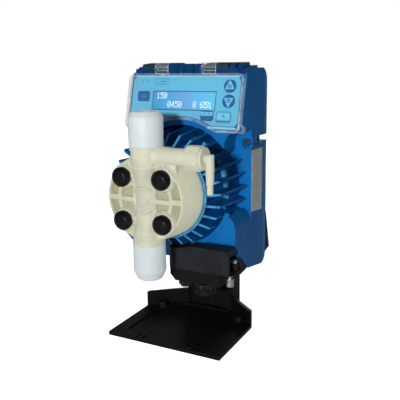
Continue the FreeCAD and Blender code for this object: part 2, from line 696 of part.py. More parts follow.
def pocket_screws():
    """Two screws seen in the scooped pockets beside the barrel."""
    screws = []
    for side in (-1, 1):
        x = side * (SCREW_POCKET_X - 1.0)
        head = turned("y", [(0, STEP_Y + 0.3, 0), (3.0, STEP_Y + 0.3, 0.8), (3.0, STEP_Y + 2.4, 0),
                            (0, STEP_Y + 2.4, 0)], x, SCREW_POCKET_Z)
        slot = block((x - 2.4, x + 2.4), (STEP_Y - 1, STEP_Y + 1.3), (SCREW_POCKET_Z - 0.4, SCREW_POCKET_Z + 0.4))
        screws.append(head.cut(slot))
    return screws


def housing_seal():
    """Soft ring pressed in the groove of the joint face."""
    return seal_ring(COVER_SEAM_Y - 0.9, COVER_SEAM_Y, 0.05)


def label_plate():
    """Bare rating plate stuck on the right side, its lower edge cut on the slant."""
    return prism("x", sharp([(26.0, 107.5), (49.0, 105.0), (49.0, 159.6), (26.0, 159.6)]), HALF, HALF + 0.3)


# ------------------------------------------------------------------ control panel
def keypad_panel():
    """Light-blue sheet with openings for the display and the keys."""
    sheet = keypad_shape(PLATEAU, PLATEAU + KEYPAD_THICK)
    sheet = sheet.cut(display_window(0.0, 0, 5))
    for key in KEYS:
        sheet = sheet.cut(prism("z", key_outline(key, KEY_GAP), 0, 5))
    return on_panel(sheet)


def key_cap(key):
    """Key with rounded top edge that moves in its opening."""
    top = PLATEAU + KEYPAD_THICK + KEY_RISE
    cap = prism("z", key_outline(key), top - KEY_THICK, top)
    rim = [edge for edge in cap.Edges if abs(edge.CenterOfMass.z - top) < 1e-6]
    return on_panel(cap.makeFillet(0.3, rim))


def display_lens():
    """Window of the display, level with the keypad sheet."""
    return on_panel(display_window(-0.1, PLATEAU + KEYPAD_THICK - 1.2, PLATEAU + KEYPAD_THICK - 0.1))


def display_module():
    """Two-line display module behind the window."""
    glass = display_window(-0.2, -2.6, PLATEAU + KEYPAD_THICK - 1.2)
    board = display_window(6.0, -HOUSING_WALL - 2.3, -HOUSING_WALL - 0.7)
    rim = display_window(0.3, -HOUSING_WALL - 0.8, -2.5)
    return on_panel(fused([glass, rim, board]))


def control_board():
    """Circuit board behind the panel with its larger components."""
    out = -HOUSING_WALL - 6.0
    half = LCD_WIDTH / 2 + BOARD_MARGIN
    board = block((-half, half), (-BOARD_BOTTOM, -BOARD_TOP), (out - 1.6, out))
    spacer_x = LCD_WIDTH / 2 - 3.0
    spacer_downs = (LCD_TOP - 3.3, LCD_TOP + LCD_HEIGHT + 2.1)
    spacers = [rod("z", 2.0, out - 0.5, -HOUSING_WALL - 2.3, x, -down)
               for x in (-spacer_x, spacer_x) for down in spacer_downs]
    capacitor = rod("z", 5.0, out - 12.0, out - 1.0, -30, -20)
    relay = block((8, 24), (-26, -14), (out - 11.0, out - 1.0))
    return on_panel(fused([board, capacitor, relay] + spacers))


def clear_cover():
    """Clear hinged cover: a shallow tray with two lugs and a finger tab at its lower right corner."""
    tray = panel_shape(COVER_HALF, COVER_TOP, COVER_BOTTOM, PANEL_ARCH_R, COVER_GAP, COVER_DEPTH, 5.0)
    hollow = panel_shape(COVER_HALF - COVER_WALL, COVER_TOP + COVER_WALL, COVER_BOTTOM - COVER_WALL,
                         PANEL_ARCH_R + COVER_WALL, COVER_GAP - 1, COVER_DEPTH - COVER_WALL, 5.0 - COVER_WALL)
    tab = rod("z", TAB_R, COVER_GAP, COVER_DEPTH - 0.4, HALF + TAB_OUT, -(COVER_BOTTOM - TAB_R))
    body = on_panel(tray.fuse(tab.cut(hollow)).cut(hollow))
    inner, _ = hinge_lug_edges()
    top_out = panel_point(COVER_TOP, COVER_DEPTH - 0.4)
    top_in = panel_point(COVER_TOP, COVER_DEPTH - COVER_WALL - 1.2)
    arms = []
    for side in (-1, 1):
        low = inner if side > 0 else -inner - LUG_WIDTH
        lug = rod("x", LUG_R, low, low + LUG_WIDTH, HINGE_Y, HINGE_Z)
        arm = prism("x", sharp([
            (top_out[0] + 0.1, top_out[1] - 1.4), (top_in[0], top_in[1] - 1.4),
            (HINGE_Y + 0.6, HINGE_Z - LUG_R + 0.2), (HINGE_Y - LUG_R + 0.1, HINGE_Z + 0.6),
        ]), low, low + LUG_WIDTH)
        arms += [lug, arm]
    cover = fused([body] + arms)
    for side in (-1, 1):
        low = inner if side > 0 else -inner - LUG_WIDTH
        cover = cover.cut(rod("x", HINGE_PIN_R + RUNNING, low - 1, low + LUG_WIDTH + 1, HINGE_Y, HINGE_Z))
    return cover


def hinge_pins():
    """The two pins of the cover's hinge."""
    return Part.makeCompound([hinge_pin(1), hinge_pin(-1)])


# ------------------------------------------------------------------ barrel and solenoid
def finned_barrel():
    """Cooling barrel round the solenoid: ring, stepped body and radial fins with slanted fronts."""
    face = BARREL_FRONT_Y
    body = turned("y", [
        (0, face, 0), (BARREL_RING_R, face, 0), (BARREL_RING_R, face + 2.2, 0),
        (BARREL_ROOT_R - 0.6, face + 2.2, 0), (BARREL_ROOT_R, BARREL_ROOT_STEP_Y, 0),
        (BARREL_REAR_ROOT_R, BARREL_ROOT_STEP_Y, 0), (BARREL_REAR_ROOT_R + 0.8, STEP_Y, 0),
        (SPIGOT_R, STEP_Y, 0), (SPIGOT_R, STEP_Y + SPIGOT_LENGTH, 0), (0, STEP_Y + SPIGOT_LENGTH, 0),
    ], 0, AXIS_Z)
    slant = FIN_FRONT_R - BARREL_RING_R
    profile = [
        (BARREL_ROOT_R - 3, face + 0.2), (BARREL_RING_R - 0.2, face + 0.2),
        (FIN_FRONT_R, face + 0.2 + slant), (FIN_REAR_R, STEP_Y), (BARREL_ROOT_R - 3, STEP_Y),
    ]
    fins = []
    for step in range(FIN_COUNT):
        fin = Part.Face(outline(sharp(profile), lambda r, d: V(r, d, -FIN_THICK / 2)))
        fin = fin.extrude(V(0, 0, FIN_THICK))
        fin.rotate(V(0, 0, 0), V(0, 1, 0), 360.0 * step / FIN_COUNT)
        fin.translate(V(0, 0, AXIS_Z))
        fins.append(fin)
    barrel = body.multiFuse(fins)
    barrel = barrel.cut(rod("y", BARREL_BORE_R, face + BARREL_FACE_THICK, STEP_Y + 20, 0, AXIS_Z))
    barrel = barrel.cut(rod("y", ROD_R + 3.0, face - 1, face + BARREL_FACE_THICK + 1, 0, AXIS_Z))
    barrel = barrel.cut(rod("y", DISC_R + 1.5, face - 1, face + STROKE + 3.5, 0, AXIS_Z))
    for x, z in bolt_places():
        barrel = barrel.cut(rod("y", BOLT_R, face - 1, face + BARREL_FACE_THICK + 1, x, z))
    return barrel


def bolt_places():
    """(x, z) of the four head bolts."""
    return [(sx * BOLT_X, AXIS_Z + sz * BOLT_Z) for sz in (1, -1) for sx in (-1, 1)]


def solenoid_can():
    """Steel cup that closes the magnetic circuit, with its front plate."""
    can = tube("y", BARREL_BORE_R - 0.2, COIL_R + 0.2, CAN_FRONT_Y, CAN_REAR_Y, 0, AXIS_Z)
    plate = tube("y", BARREL_BORE_R - 0.2, ROD_R + 2.0, CAN_FRONT_Y, CORE_FRONT_Y, 0, AXIS_Z)
    return can.fuse(plate).removeSplitter()


def solenoid_cover():
    """Steel disc that closes the cup behind the armature."""
    return turned("y", [(0, CAN_REAR_Y, 0), (BARREL_BORE_R - 0.2, CAN_REAR_Y, 0),
                        (BARREL_BORE_R - 0.2, CAN_REAR_Y + CAN_THICK, 1.0), (6, CAN_REAR_Y + CAN_THICK, 0),
                        (6, CAN_REAR_Y + CAN_THICK + 2, 0), (0, CAN_REAR_Y + CAN_THICK + 2, 0)], 0, AXIS_Z)


def coil_bobbin():
    """Plastic former of the winding with its two flanges."""
    low, high = CORE_FRONT_Y + 0.2, CAN_REAR_Y - 0.2
    return turned("y", [
        (GUIDE_R + 0.1, low, 0), (COIL_R, low, 0), (COIL_R, low + 1.6, 0), (BOBBIN_R, low + 1.6, 0),
        (BOBBIN_R, high - 1.6, 0), (COIL_R, high - 1.6, 0), (COIL_R, high, 0), (GUIDE_R + 0.1, high, 0),
    ], 0, AXIS_Z)


def coil_winding():
    """Copper winding between the bobbin's flanges."""
    return tube("y", COIL_R - 0.6, BOBBIN_R, CORE_FRONT_Y + 1.8, CAN_REAR_Y - 1.8, 0, AXIS_Z)


def guide_tube():
    """Brass tube that guides the armature."""
    return tube("y", GUIDE_R, CORE_R + RUNNING, CORE_REAR_Y - 6.0, CAN_REAR_Y - 0.2, 0, AXIS_Z)


def fixed_core():
    """Fixed steel core, stepped to fit the guide tube, with the spring's pocket."""
    core = turned("y", [
        (ROD_R + 1.5, CORE_FRONT_Y, 0), (GUIDE_R, CORE_FRONT_Y, 0), (GUIDE_R, CORE_REAR_Y - 6.1, 0),
        (CORE_R, CORE_REAR_Y - 6.1, 0), (CORE_R, CORE_REAR_Y, 0.8), (SPRING_R + 1.2, CORE_REAR_Y, 0),
        (SPRING_R + 1.2, CORE_REAR_Y - 8.0, 0), (ROD_R + 1.5, CORE_REAR_Y - 8.0, 0),
    ], 0, AXIS_Z)
    return core


def rod_bush():
    """Plain bearing of the push rod in the fixed core."""
    return tube("y", ROD_R + 1.5, ROD_R + RUNNING, CAN_FRONT_Y + 0.5, CORE_REAR_Y - 8.0, 0, AXIS_Z)


def armature():
    """Moving steel core."""
    return turned("y", [
        (ROD_R, ARMATURE_FRONT_Y, 0), (CORE_R, ARMATURE_FRONT_Y, 0.6), (CORE_R, ARMATURE_REAR_Y, 0.6),
        (ROD_R, ARMATURE_REAR_Y, 0),
    ], 0, AXIS_Z)


def push_rod():
    """Rod that carries the armature and drives the diaphragm."""
    return turned("y", [
        (0, BARREL_FRONT_Y + 3.0, 0), (ROD_R, BARREL_FRONT_Y + 3.0, 0.4), (ROD_R, ARMATURE_REAR_Y, 0.4),
        (0, ARMATURE_REAR_Y, 0),
    ], 0, AXIS_Z)


def bump_stop():
    """Rubber pad that the armature rests on when it springs back."""
    return rod("y", CORE_R - 1.5, ARMATURE_REAR_Y + 0.3, CAN_REAR_Y, 0, AXIS_Z)


def return_spring():
    """Compression spring in the core's pocket; it ends a stroke short of the armature."""
    low = CORE_REAR_Y - 8.0 + 0.1
    high = ARMATURE_FRONT_Y - STROKE - 0.2
    pitch = (high - low - SPRING_WIRE) / SPRING_TURNS
    helix = Part.makeHelix(pitch, pitch * SPRING_TURNS, SPRING_R)
    circle = Part.Wire([Part.makeCircle(SPRING_WIRE / 2, V(SPRING_R, 0, 0), V(0, 1, 0))])
    coil = Part.Wire(helix.Edges).makePipeShell([circle], True, True)
    coil.rotate(V(0, 0, 0), V(1, 0, 0), -90)
    coil.translate(V(0, low + SPRING_WIRE / 2, AXIS_Z))
    return coil


# ------------------------------------------------------------------ pump head and diaphragm
def rounded_sector(inner, outer, first, last):
    """Closed (x, z) wire of a ring sector between two angles, for the crescent pockets."""
    def at(radius, angle):
        turn = math.radians(angle)
        return V(radius * math.cos(turn), 0, radius * math.sin(turn))
    middle = (first + last) / 2
    edges = [
        Part.Arc(at(outer, first), at(outer, middle), at(outer, last)).toShape(),
        Part.LineSegment(at(outer, last), at(inner, last)).toShape(),
        Part.Arc(at(inner, last), at(inner, middle), at(inner, first)).toShape(),
        Part.LineSegment(at(inner, first), at(outer, first)).toShape(),
    ]
    return Part.Wire(edges)


def crescent_pockets():
    """Four sunk crescents between the head's rim and its hub, two on each side of a level rib."""
    pockets = []
    rib_angle = math.degrees(math.asin(CRESCENT_RIB / 2 / CRESCENT_INNER_R))
    for start in (0, 180):
        for first, last in ((rib_angle, CRESCENT_END), (-CRESCENT_END, -rib_angle)):
            wire = rounded_sector(CRESCENT_INNER_R, CRESCENT_OUTER_R, first, last)
            pocket = Part.Face(wire).extrude(V(0, CRESCENT_DEPTH + 10, 0))
            across = [edge for edge in pocket.Edges if edge.Length > CRESCENT_DEPTH + 9.9
                      and abs(edge.tangentAt(edge.FirstParameter).y) > 0.99]
            pocket = pocket.makeFillet(2.2, across)
            pocket.rotate(V(0, 0, 0), V(0, 1, 0), start)
            pocket.translate(V(0, HEAD_FRONT_Y - 10, AXIS_Z))
            pockets.append(pocket)
    return pockets


def inner_pockets():
    """Shallow rounded pockets between the valve column and the crescents, two on each side."""
    low, high = BULGE_R + 1.8, CRESCENT_INNER_R - 3.3
    pockets = []
    for near, far in ((1.2, 9.5), (-2.8, -11.0)):
        corners = [(low, AXIS_Z + near, 1.0), (high, AXIS_Z + near, 1.5), (high, AXIS_Z + far, 3.5),
                   (low, AXIS_Z + far, 2.0)]
        pocket = prism("y", corners, HEAD_FRONT_Y - 5, HEAD_FRONT_Y + INNER_POCKET_DEPTH)
        pockets += [pocket, mirrored(pocket)]
    return pockets


def column_windows():
    """Slots beside the valve column, like the gaps of a ladder."""
    windows = []
    for low, high in ((20.0, 23.6), (13.6, 16.6), (-13.4, -10.8), (-20.6, -16.8)):
        window = block((BULGE_R + 0.2, BULGE_R + 0.2 + WINDOW_WIDTH),
                       (TOWER_FRONT_Y - 1, HEAD_FRONT_Y + WINDOW_DEPTH), (AXIS_Z + low, AXIS_Z + high))
        windows += [window, mirrored(window)]
    return windows


def valve_neck(side, start, reach):
    """Round neck of one valve, slightly waisted, from its root to its open end."""
    near, far = AXIS_Z + side * start, AXIS_Z + side * reach
    return turned("z", [
        (0, near, 0), (NECK_R + 0.6, near, 0), (NECK_R, near + side * 5, 0), (NECK_R, far - side * 3, 0),
        (FLANGE_R - 0.2, far, 0), (0, far, 0),
    ], 0, VALVE_Y)


def pump_head():
    """Moulded head: bowl, bolt towers, valve necks, bleed branch, crescent pockets and chamber."""
    bowl = turned("y", [
        (0, BARREL_FRONT_Y, 0), (HEAD_BACK_R, BARREL_FRONT_Y, 0.8), (HEAD_BACK_R, BARREL_FRONT_Y - 5, 3.0),
        (HEAD_FRONT_R + 0.7, HEAD_FRONT_Y + 8, 4.0), (HEAD_FRONT_R, HEAD_FRONT_Y, 1.6), (0, HEAD_FRONT_Y, 0),
    ], 0, AXIS_Z)
    for pocket in crescent_pockets() + inner_pockets():
        bowl = bowl.cut(pocket)
    towers = []
    inside = rod("y", HEAD_FRONT_R + 0.2, TOWER_FRONT_Y - 1, BARREL_FRONT_Y, 0, AXIS_Z)
    for x, z in bolt_places():
        towers.append(rod("y", TOWER_R, TOWER_FRONT_Y, BARREL_FRONT_Y, x, z).common(inside))
    necks = [
        rod("z", BULGE_R, AXIS_Z - SUCTION_REACH, AXIS_Z + DISCHARGE_REACH, 0, VALVE_Y),
        valve_neck(1, 24.5, DISCHARGE_REACH), valve_neck(-1, 21.5, SUCTION_REACH),
    ]
    branch = turned("x", [
        (0, 4.0, 0), (BRANCH_R + 2.6, 4.0, 0), (BRANCH_R + 1.0, 17, 0), (BRANCH_R, BRANCH_END_X, 0.6),
        (STUB_BLEED_R, BRANCH_END_X, 0), (STUB_BLEED_R, BRANCH_END_X + BLEED_STUB, 0),
        (0, BRANCH_END_X + BLEED_STUB, 0),
    ], VALVE_Y, BLEED_Z)
    web = prism("x", sharp([(VALVE_Y - 2.2, AXIS_Z + 20), (VALVE_Y + 2.2, AXIS_Z + 20),
                            (VALVE_Y + 2.2, BLEED_Z), (VALVE_Y - 2.2, BLEED_Z)]), 8, 27)
    head = bowl.multiFuse(towers + necks + [branch, web])
    cuts = column_windows()
    for x, z in bolt_places():
        cuts.append(rod("y", BOLT_R + 0.25, TOWER_FRONT_Y - 1, BARREL_FRONT_Y + 1, x, z))
        cuts.append(rod("y", CAP_SPIGOT_R + 0.1, TOWER_FRONT_Y - 1, BOLT_SEAT_Y, x, z))
    for side, reach in ((1, DISCHARGE_REACH), (-1, SUCTION_REACH)):
        limits = sorted((AXIS_Z + side * CARTRIDGE_START, AXIS_Z + side * (reach + 1)))
        cuts.append(rod("z", CARTRIDGE_R + 0.1, limits[0], limits[1], 0, VALVE_Y))
    cuts.append(rod("z", 2.2, AXIS_Z - CARTRIDGE_START - 1, AXIS_Z + CARTRIDGE_START + 1, 0, VALVE_Y))
    cuts.append(rod("y", 2.2, VALVE_Y, BARREL_FRONT_Y, 0, AXIS_Z))
    cuts.append(rod("y", DIAPHRAGM_R + 0.2, BARREL_FRONT_Y - DIAPHRAGM_THICK, BARREL_FRONT_Y + 1, 0, AXIS_Z))
    cuts.append(turned("y", [
        (0, BARREL_FRONT_Y - DIAPHRAGM_THICK + 0.1, 0),
        (DIAPHRAGM_R - DIAPHRAGM_RIM, BARREL_FRONT_Y - DIAPHRAGM_THICK + 0.1, 0),
        (DIAPHRAGM_R - DIAPHRAGM_RIM - 3, CHAMBER_Y, 0), (0, CHAMBER_Y, 0),
    ], 0, AXIS_Z))
    cuts.append(rod("x", 1.6, 5.0, BRANCH_END_X + 8, VALVE_Y, BLEED_Z))
    cuts.append(rod("z", DISCHARGE_NUT_R + 0.5, AXIS_Z + DISCHARGE_REACH, AXIS_Z + 60, 0, VALVE_Y))
    cuts.append(rod("z", SUCTION_NUT_R + 0.5, AXIS_Z - 60, AXIS_Z - SUCTION_REACH, 0, VALVE_Y))
    for cut in cuts:
        head = head.cut(cut)
    return head


def head_bolts():
    """Four socket-head bolts that clamp the head to the barrel."""
    bolts = []
    for x, z in bolt_places():
        low = BOLT_SEAT_Y - BOLT_HEAD_LENGTH
        bolt = turned("y", [
            (0, low, 0), (BOLT_HEAD_R, low, 0.5), (BOLT_HEAD_R, BOLT_SEAT_Y, 0), (BOLT_R, BOLT_SEAT_Y, 0),
            (BOLT_R, BARREL_FRONT_Y + BARREL_FACE_THICK, 0), (0, BARREL_FRONT_Y + BARREL_FACE_THICK, 0),
        ], x, z)
        socket = prism("y", sharp(moved(regular(6, 4.0), x, z)), low - 1, low + 2.6)
        bolts.append(bolt.cut(socket))
    return Part.makeCompound(bolts)


def bolt_caps():
    """Black plugs that close the bolt towers, with a flat face and a wide bevel."""
    caps = []
    for x, z in bolt_places():
        front = TOWER_FRONT_Y - CAP_THICK
        caps.append(turned("y", [
            (0, front, 0), (CAP_R - 2.6, front + 0.2, 1.5), (CAP_R, front + 2.6, 1.0),
            (CAP_R, TOWER_FRONT_Y, 0), (CAP_SPIGOT_R, TOWER_FRONT_Y, 0),
            (CAP_SPIGOT_R, TOWER_FRONT_Y + CAP_SPIGOT, 0), (0, TOWER_FRONT_Y + CAP_SPIGOT, 0),
        ], x, z))
    return Part.makeCompound(caps)


def diaphragm():
    """Rubber ring of the diaphragm: rim clamped by the head, and the thin rolling web inside it."""
    rear = BARREL_FRONT_Y - 0.05
    front = rear - DIAPHRAGM_THICK + 0.1
    web = DIAPHRAGM_R - DIAPHRAGM_RIM
    hole = DISC_R + FIT
    return turned("y", [
        (hole, front + 0.4, 0), (web - 0.6, front + 0.8, 0), (web + 0.4, front, 0), (DIAPHRAGM_R, front, 0.4),
        (DIAPHRAGM_R, rear, 0), (web, rear, 0), (web - 0.8, rear - 0.4, 0), (hole, rear - 0.2, 0),
    ], 0, AXIS_Z)


def diaphragm_disc():
    """Moulded hub of the diaphragm: smooth face to the chamber and a steel-backed seat on the push rod."""
    front = BARREL_FRONT_Y - DIAPHRAGM_THICK + 0.05
    return turned("y", [
        (0, front, 0), (DISC_R, front, 0.8), (DISC_R, BARREL_FRONT_Y + 1.0, 0.5),
        (ROD_R + 1.6, BARREL_FRONT_Y + 3.0, 0), (0, BARREL_FRONT_Y + 3.0, 0),
    ], 0, AXIS_Z)


# ------------------------------------------------------------------ valves, nuts and bleed fitting
def valve_levels(upward):
    """Direction of one valve and the heights of its flange, shoulder and stub end."""
    side = 1 if upward else -1
    flange = AXIS_Z + side * (DISCHARGE_REACH if upward else SUCTION_REACH)
    return side, flange, flange + side * FLANGE_THICK, flange + side * (FLANGE_THICK + STUB_LENGTH)


def nut_ends(upward):
    """Heights of a hose nut's open end and closed end."""
    side, _, shoulder, _ = valve_levels(upward)
    near = shoulder + side * FIT
    return near, near + side * (DISCHARGE_NUT_LENGTH if upward else SUCTION_NUT_LENGTH)


def ball_rest_z(upward):
    """Centre height of a valve's ball when it rests on its seat."""
    return AXIS_Z + (25.0 if upward else -26.0)


def valve_body(upward):
    """Valve cartridge: shank in the neck, flange, threaded stub and the ball's chamber."""
    side, flange, shoulder, end = valve_levels(upward)
    inner_end = AXIS_Z + side * (CARTRIDGE_START + 0.4)
    body = turned("z", [
        (0, inner_end, 0), (CARTRIDGE_R, inner_end, 0.6), (CARTRIDGE_R, flange, 0), (FLANGE_R, flange, 0),
        (FLANGE_R, shoulder, 0.5), (STUB_R, shoulder, 0), (STUB_R, end, 1.0), (0, end, 0),
    ], 0, VALVE_Y)
    rest = ball_rest_z(upward)
    body = body.cut(rod("z", SEAT_BORE_R, AXIS_Z - 90, AXIS_Z + 90, 0, VALVE_Y))
    body = body.cut(rod("z", BALL_R + 0.5, rest - 5.4, rest + BALL_LIFT + BALL_R + 0.2, 0, VALVE_Y))
    low, high = seat_range(upward)
    body = body.cut(rod("z", SEAT_RING_R, low, high, 0, VALVE_Y))
    if upward:
        body = body.cut(rod("z", SEAT_RING_R, inner_end - 1, low + 0.1, 0, VALVE_Y))
    else:
        body = body.cut(rod("z", SEAT_RING_R, flange - 40, low + 0.1, 0, VALVE_Y))
    return body


def seat_range(upward):
    """Lower and upper face of a valve's seat ring."""
    top = ball_rest_z(upward) - 1.14
    return top - SEAT_RING_LENGTH, top


def valve_seat(upward):
    """Seat insert that fills the cartridge's lower bore, with a bevelled edge below the ball."""
    _, _, _, end = valve_levels(upward)
    low, high = seat_range(upward)
    low = AXIS_Z + CARTRIDGE_START + 0.4 if upward else end
    ring = tube("z", SEAT_RING_R, SEAT_BORE_R, low, high, 0, VALVE_Y)
    bevel = turned("z", [(0, high - 1.2, 0), (SEAT_BORE_R, high - 1.2, 0), (SEAT_BORE_R + 1.4, high + 0.2, 0),
                         (0, high + 0.2, 0)], 0, VALVE_Y)
    return ring.cut(bevel)


def valve_ball(upward):
    """Ceramic ball, stored on its seat."""
    return Part.makeSphere(BALL_R, V(0, VALVE_Y, ball_rest_z(upward)))


def valve_seal(upward):
    """Ring that seals the hose's end face against the stub."""
    side, _, _, end = valve_levels(upward)
    limits = sorted((end, end + side * HOSE_SEAL_THICK))
    return turned("z", [(3.6, limits[0], 0), (7.4, limits[0], 0.6), (7.4, limits[1], 0.6), (3.6, limits[1], 0)],
                  0, VALVE_Y)


def hose_cone(upward):
    """Stepped cone that the hose is pushed on, held by the nut."""
    side, _, _, end = valve_levels(upward)
    _, far = nut_ends(upward)
    base = end + side * HOSE_SEAL_THICK
    tip = far - side * (NUT_END_THICK + CONE_CLEARANCE)
    return turned("z", [
        (1.3, base, 0), (STUB_R - 0.6, base, 0), (STUB_R - 0.6, base + side * 1.2, 0),
        (HOSE_SPIGOT_R + 0.6, base + side * 2.2, 0), (HOSE_SPIGOT_R, base + side * 2.2, 0),
        (HOSE_SPIGOT_R - 0.3, tip, 0), (1.3, tip, 0),
    ], 0, VALVE_Y)


def hose_nut(upward):
    """Large many-sided plastic nut: slightly tapered, bevelled end, hole for the hose."""
    side = valve_levels(upward)[0]
    near, far = nut_ends(upward)
    outer = DISCHARGE_NUT_R if upward else SUCTION_NUT_R
    bevel, bevel_height = (2.8, 4.2) if upward else (3.4, 7.0)
    soft, edge = (1.2, 0.6) if upward else (2.5, 2.0)
    solid = turned("z", [
        (0, near, 0), (outer - 1.0, near, 0), (outer - 0.3, near + side * 0.8, 0),
        (outer, far - side * bevel_height, soft), (outer - bevel, far, edge), (0, far, 0),
    ], 0, VALVE_Y)
    sides = prism("z", sharp(moved(regular(NUT_FLATS, 2 * outer - 0.4), 0, VALVE_Y)),
                  min(near, far) - 1, max(near, far) + 1)
    nut = solid.common(sides)
    limits = sorted((near - side, far - side * NUT_END_THICK))
    nut = nut.cut(rod("z", STUB_R + RUNNING, limits[0], limits[1], 0, VALVE_Y))
    return nut.cut(rod("z", NUT_HOLE_R, AXIS_Z - 90, AXIS_Z + 90, 0, VALVE_Y))


def bleed_knob():
    """Eight-sided knob with a round collar; it turns on the branch's threaded stub."""
    start = BRANCH_END_X + FIT
    knob = prism("x", [(y, z, 1.0) for y, z in moved(regular(8, KNOB_ACROSS), VALVE_Y, BLEED_Z)],
                 start, start + KNOB_LENGTH)
    barrel = turned("x", [
        (0, start - 1, 0), (KNOB_ACROSS / 2 - 0.4, start - 1, 0), (KNOB_ACROSS / 2 + 0.9, start + 1.6, 0),
        (KNOB_ACROSS / 2 + 0.9, start + KNOB_LENGTH - 1.2, 0), (KNOB_ACROSS / 2 - 0.2, start + KNOB_LENGTH + 0.4, 0),
        (0, start + KNOB_LENGTH + 0.4, 0),
    ], VALVE_Y, BLEED_Z)
    knob = knob.common(barrel)
    knob = knob.fuse(rod("x", COLLAR_R, start + KNOB_LENGTH, start + KNOB_LENGTH + COLLAR_LENGTH, VALVE_Y, BLEED_Z))
    knob = knob.cut(rod("x", STUB_BLEED_R + RUNNING, start - 1, BRANCH_END_X + BLEED_STUB + 1.0, VALVE_Y, BLEED_Z))
    knob = knob.cut(rod("x", ELBOW_STEM_R + RUNNING, start - 1, start + 40, VALVE_Y, BLEED_Z))
    flange_low = ELBOW_FLANGE_X - RUNNING
    flange_high = ELBOW_FLANGE_X + ELBOW_FLANGE_THICK + RUNNING
    return knob.cut(rod("x", ELBOW_STEM_R + 1.2 + RUNNING, flange_low, flange_high, VALVE_Y, BLEED_Z))


def bleed_elbow():
    """Outlet elbow that swivels in the knob, square at its corner, with a plain spigot for a small hose."""
    low = BLEED_Z - ELBOW_DROP
    top = BLEED_Z + ELBOW_TOP
    stem = rod("x", ELBOW_STEM_R, ELBOW_FLANGE_X - 0.6, ELBOW_X, VALVE_Y, BLEED_Z)
    flange = rod("x", ELBOW_STEM_R + 1.2, ELBOW_FLANGE_X, ELBOW_FLANGE_X + ELBOW_FLANGE_THICK, VALVE_Y, BLEED_Z)
    arm = turned("z", [
        (0, top, 0), (ELBOW_R, top, 0.9), (ELBOW_R, BLEED_Z - 6, 0), (ELBOW_END_R, low + 0.5, 0),
        (BARB_R, low, 0), (BARB_R, low - BARB_LENGTH, 0.5), (0, low - BARB_LENGTH, 0),
    ], ELBOW_X, VALVE_Y)
    elbow = fused([stem, flange, arm])
    elbow = elbow.cut(rod("x", 1.4, ELBOW_FLANGE_X - 2, ELBOW_X, VALVE_Y, BLEED_Z))
    return elbow.cut(rod("z", 1.4, low - BARB_LENGTH - 1, BLEED_Z, ELBOW_X, VALVE_Y))


def bleed_seal():
    """Ring between the branch's stub and the elbow's stem."""
    start = BRANCH_END_X + BLEED_STUB
    return turned("x", [(1.7, start, 0), (STUB_BLEED_R - 0.8, start, 0.3), (STUB_BLEED_R - 0.8, start + 0.8, 0.3),
                        (1.7, start + 0.8, 0)], VALVE_Y, BLEED_Z)


# ------------------------------------------------------------------ terminal box
def slant_y(z):
    """y of the housing's slanted face at a height."""
    share = (z - FLOOR_FRONT_Z) / (SLANT_TOP_Z - FLOOR_FRONT_Z)
    return FLOOR_FRONT_Y + share * (BLOCK_FRONT_Y - FLOOR_FRONT_Y)


def terminal_outline():
    """Side view of the terminal box: upright front, and a back that lies on the slanted face."""
    foot_z, top_z = TERMINAL_HEEL_Z + 1.2, TERMINAL_TOP_Z + 1.0
    return [
        (TERMINAL_FRONT_Y, TERMINAL_TOP_Z, 1.0), (TERMINAL_FRONT_Y, TERMINAL_BOTTOM_Z, 1.5),
        (4.0, TERMINAL_HEEL_Z, 2.0), (slant_y(foot_z) - FIT * 2, foot_z, 0.8),
        (slant_y(top_z) - FIT * 2, top_z, 0.8),
    ]


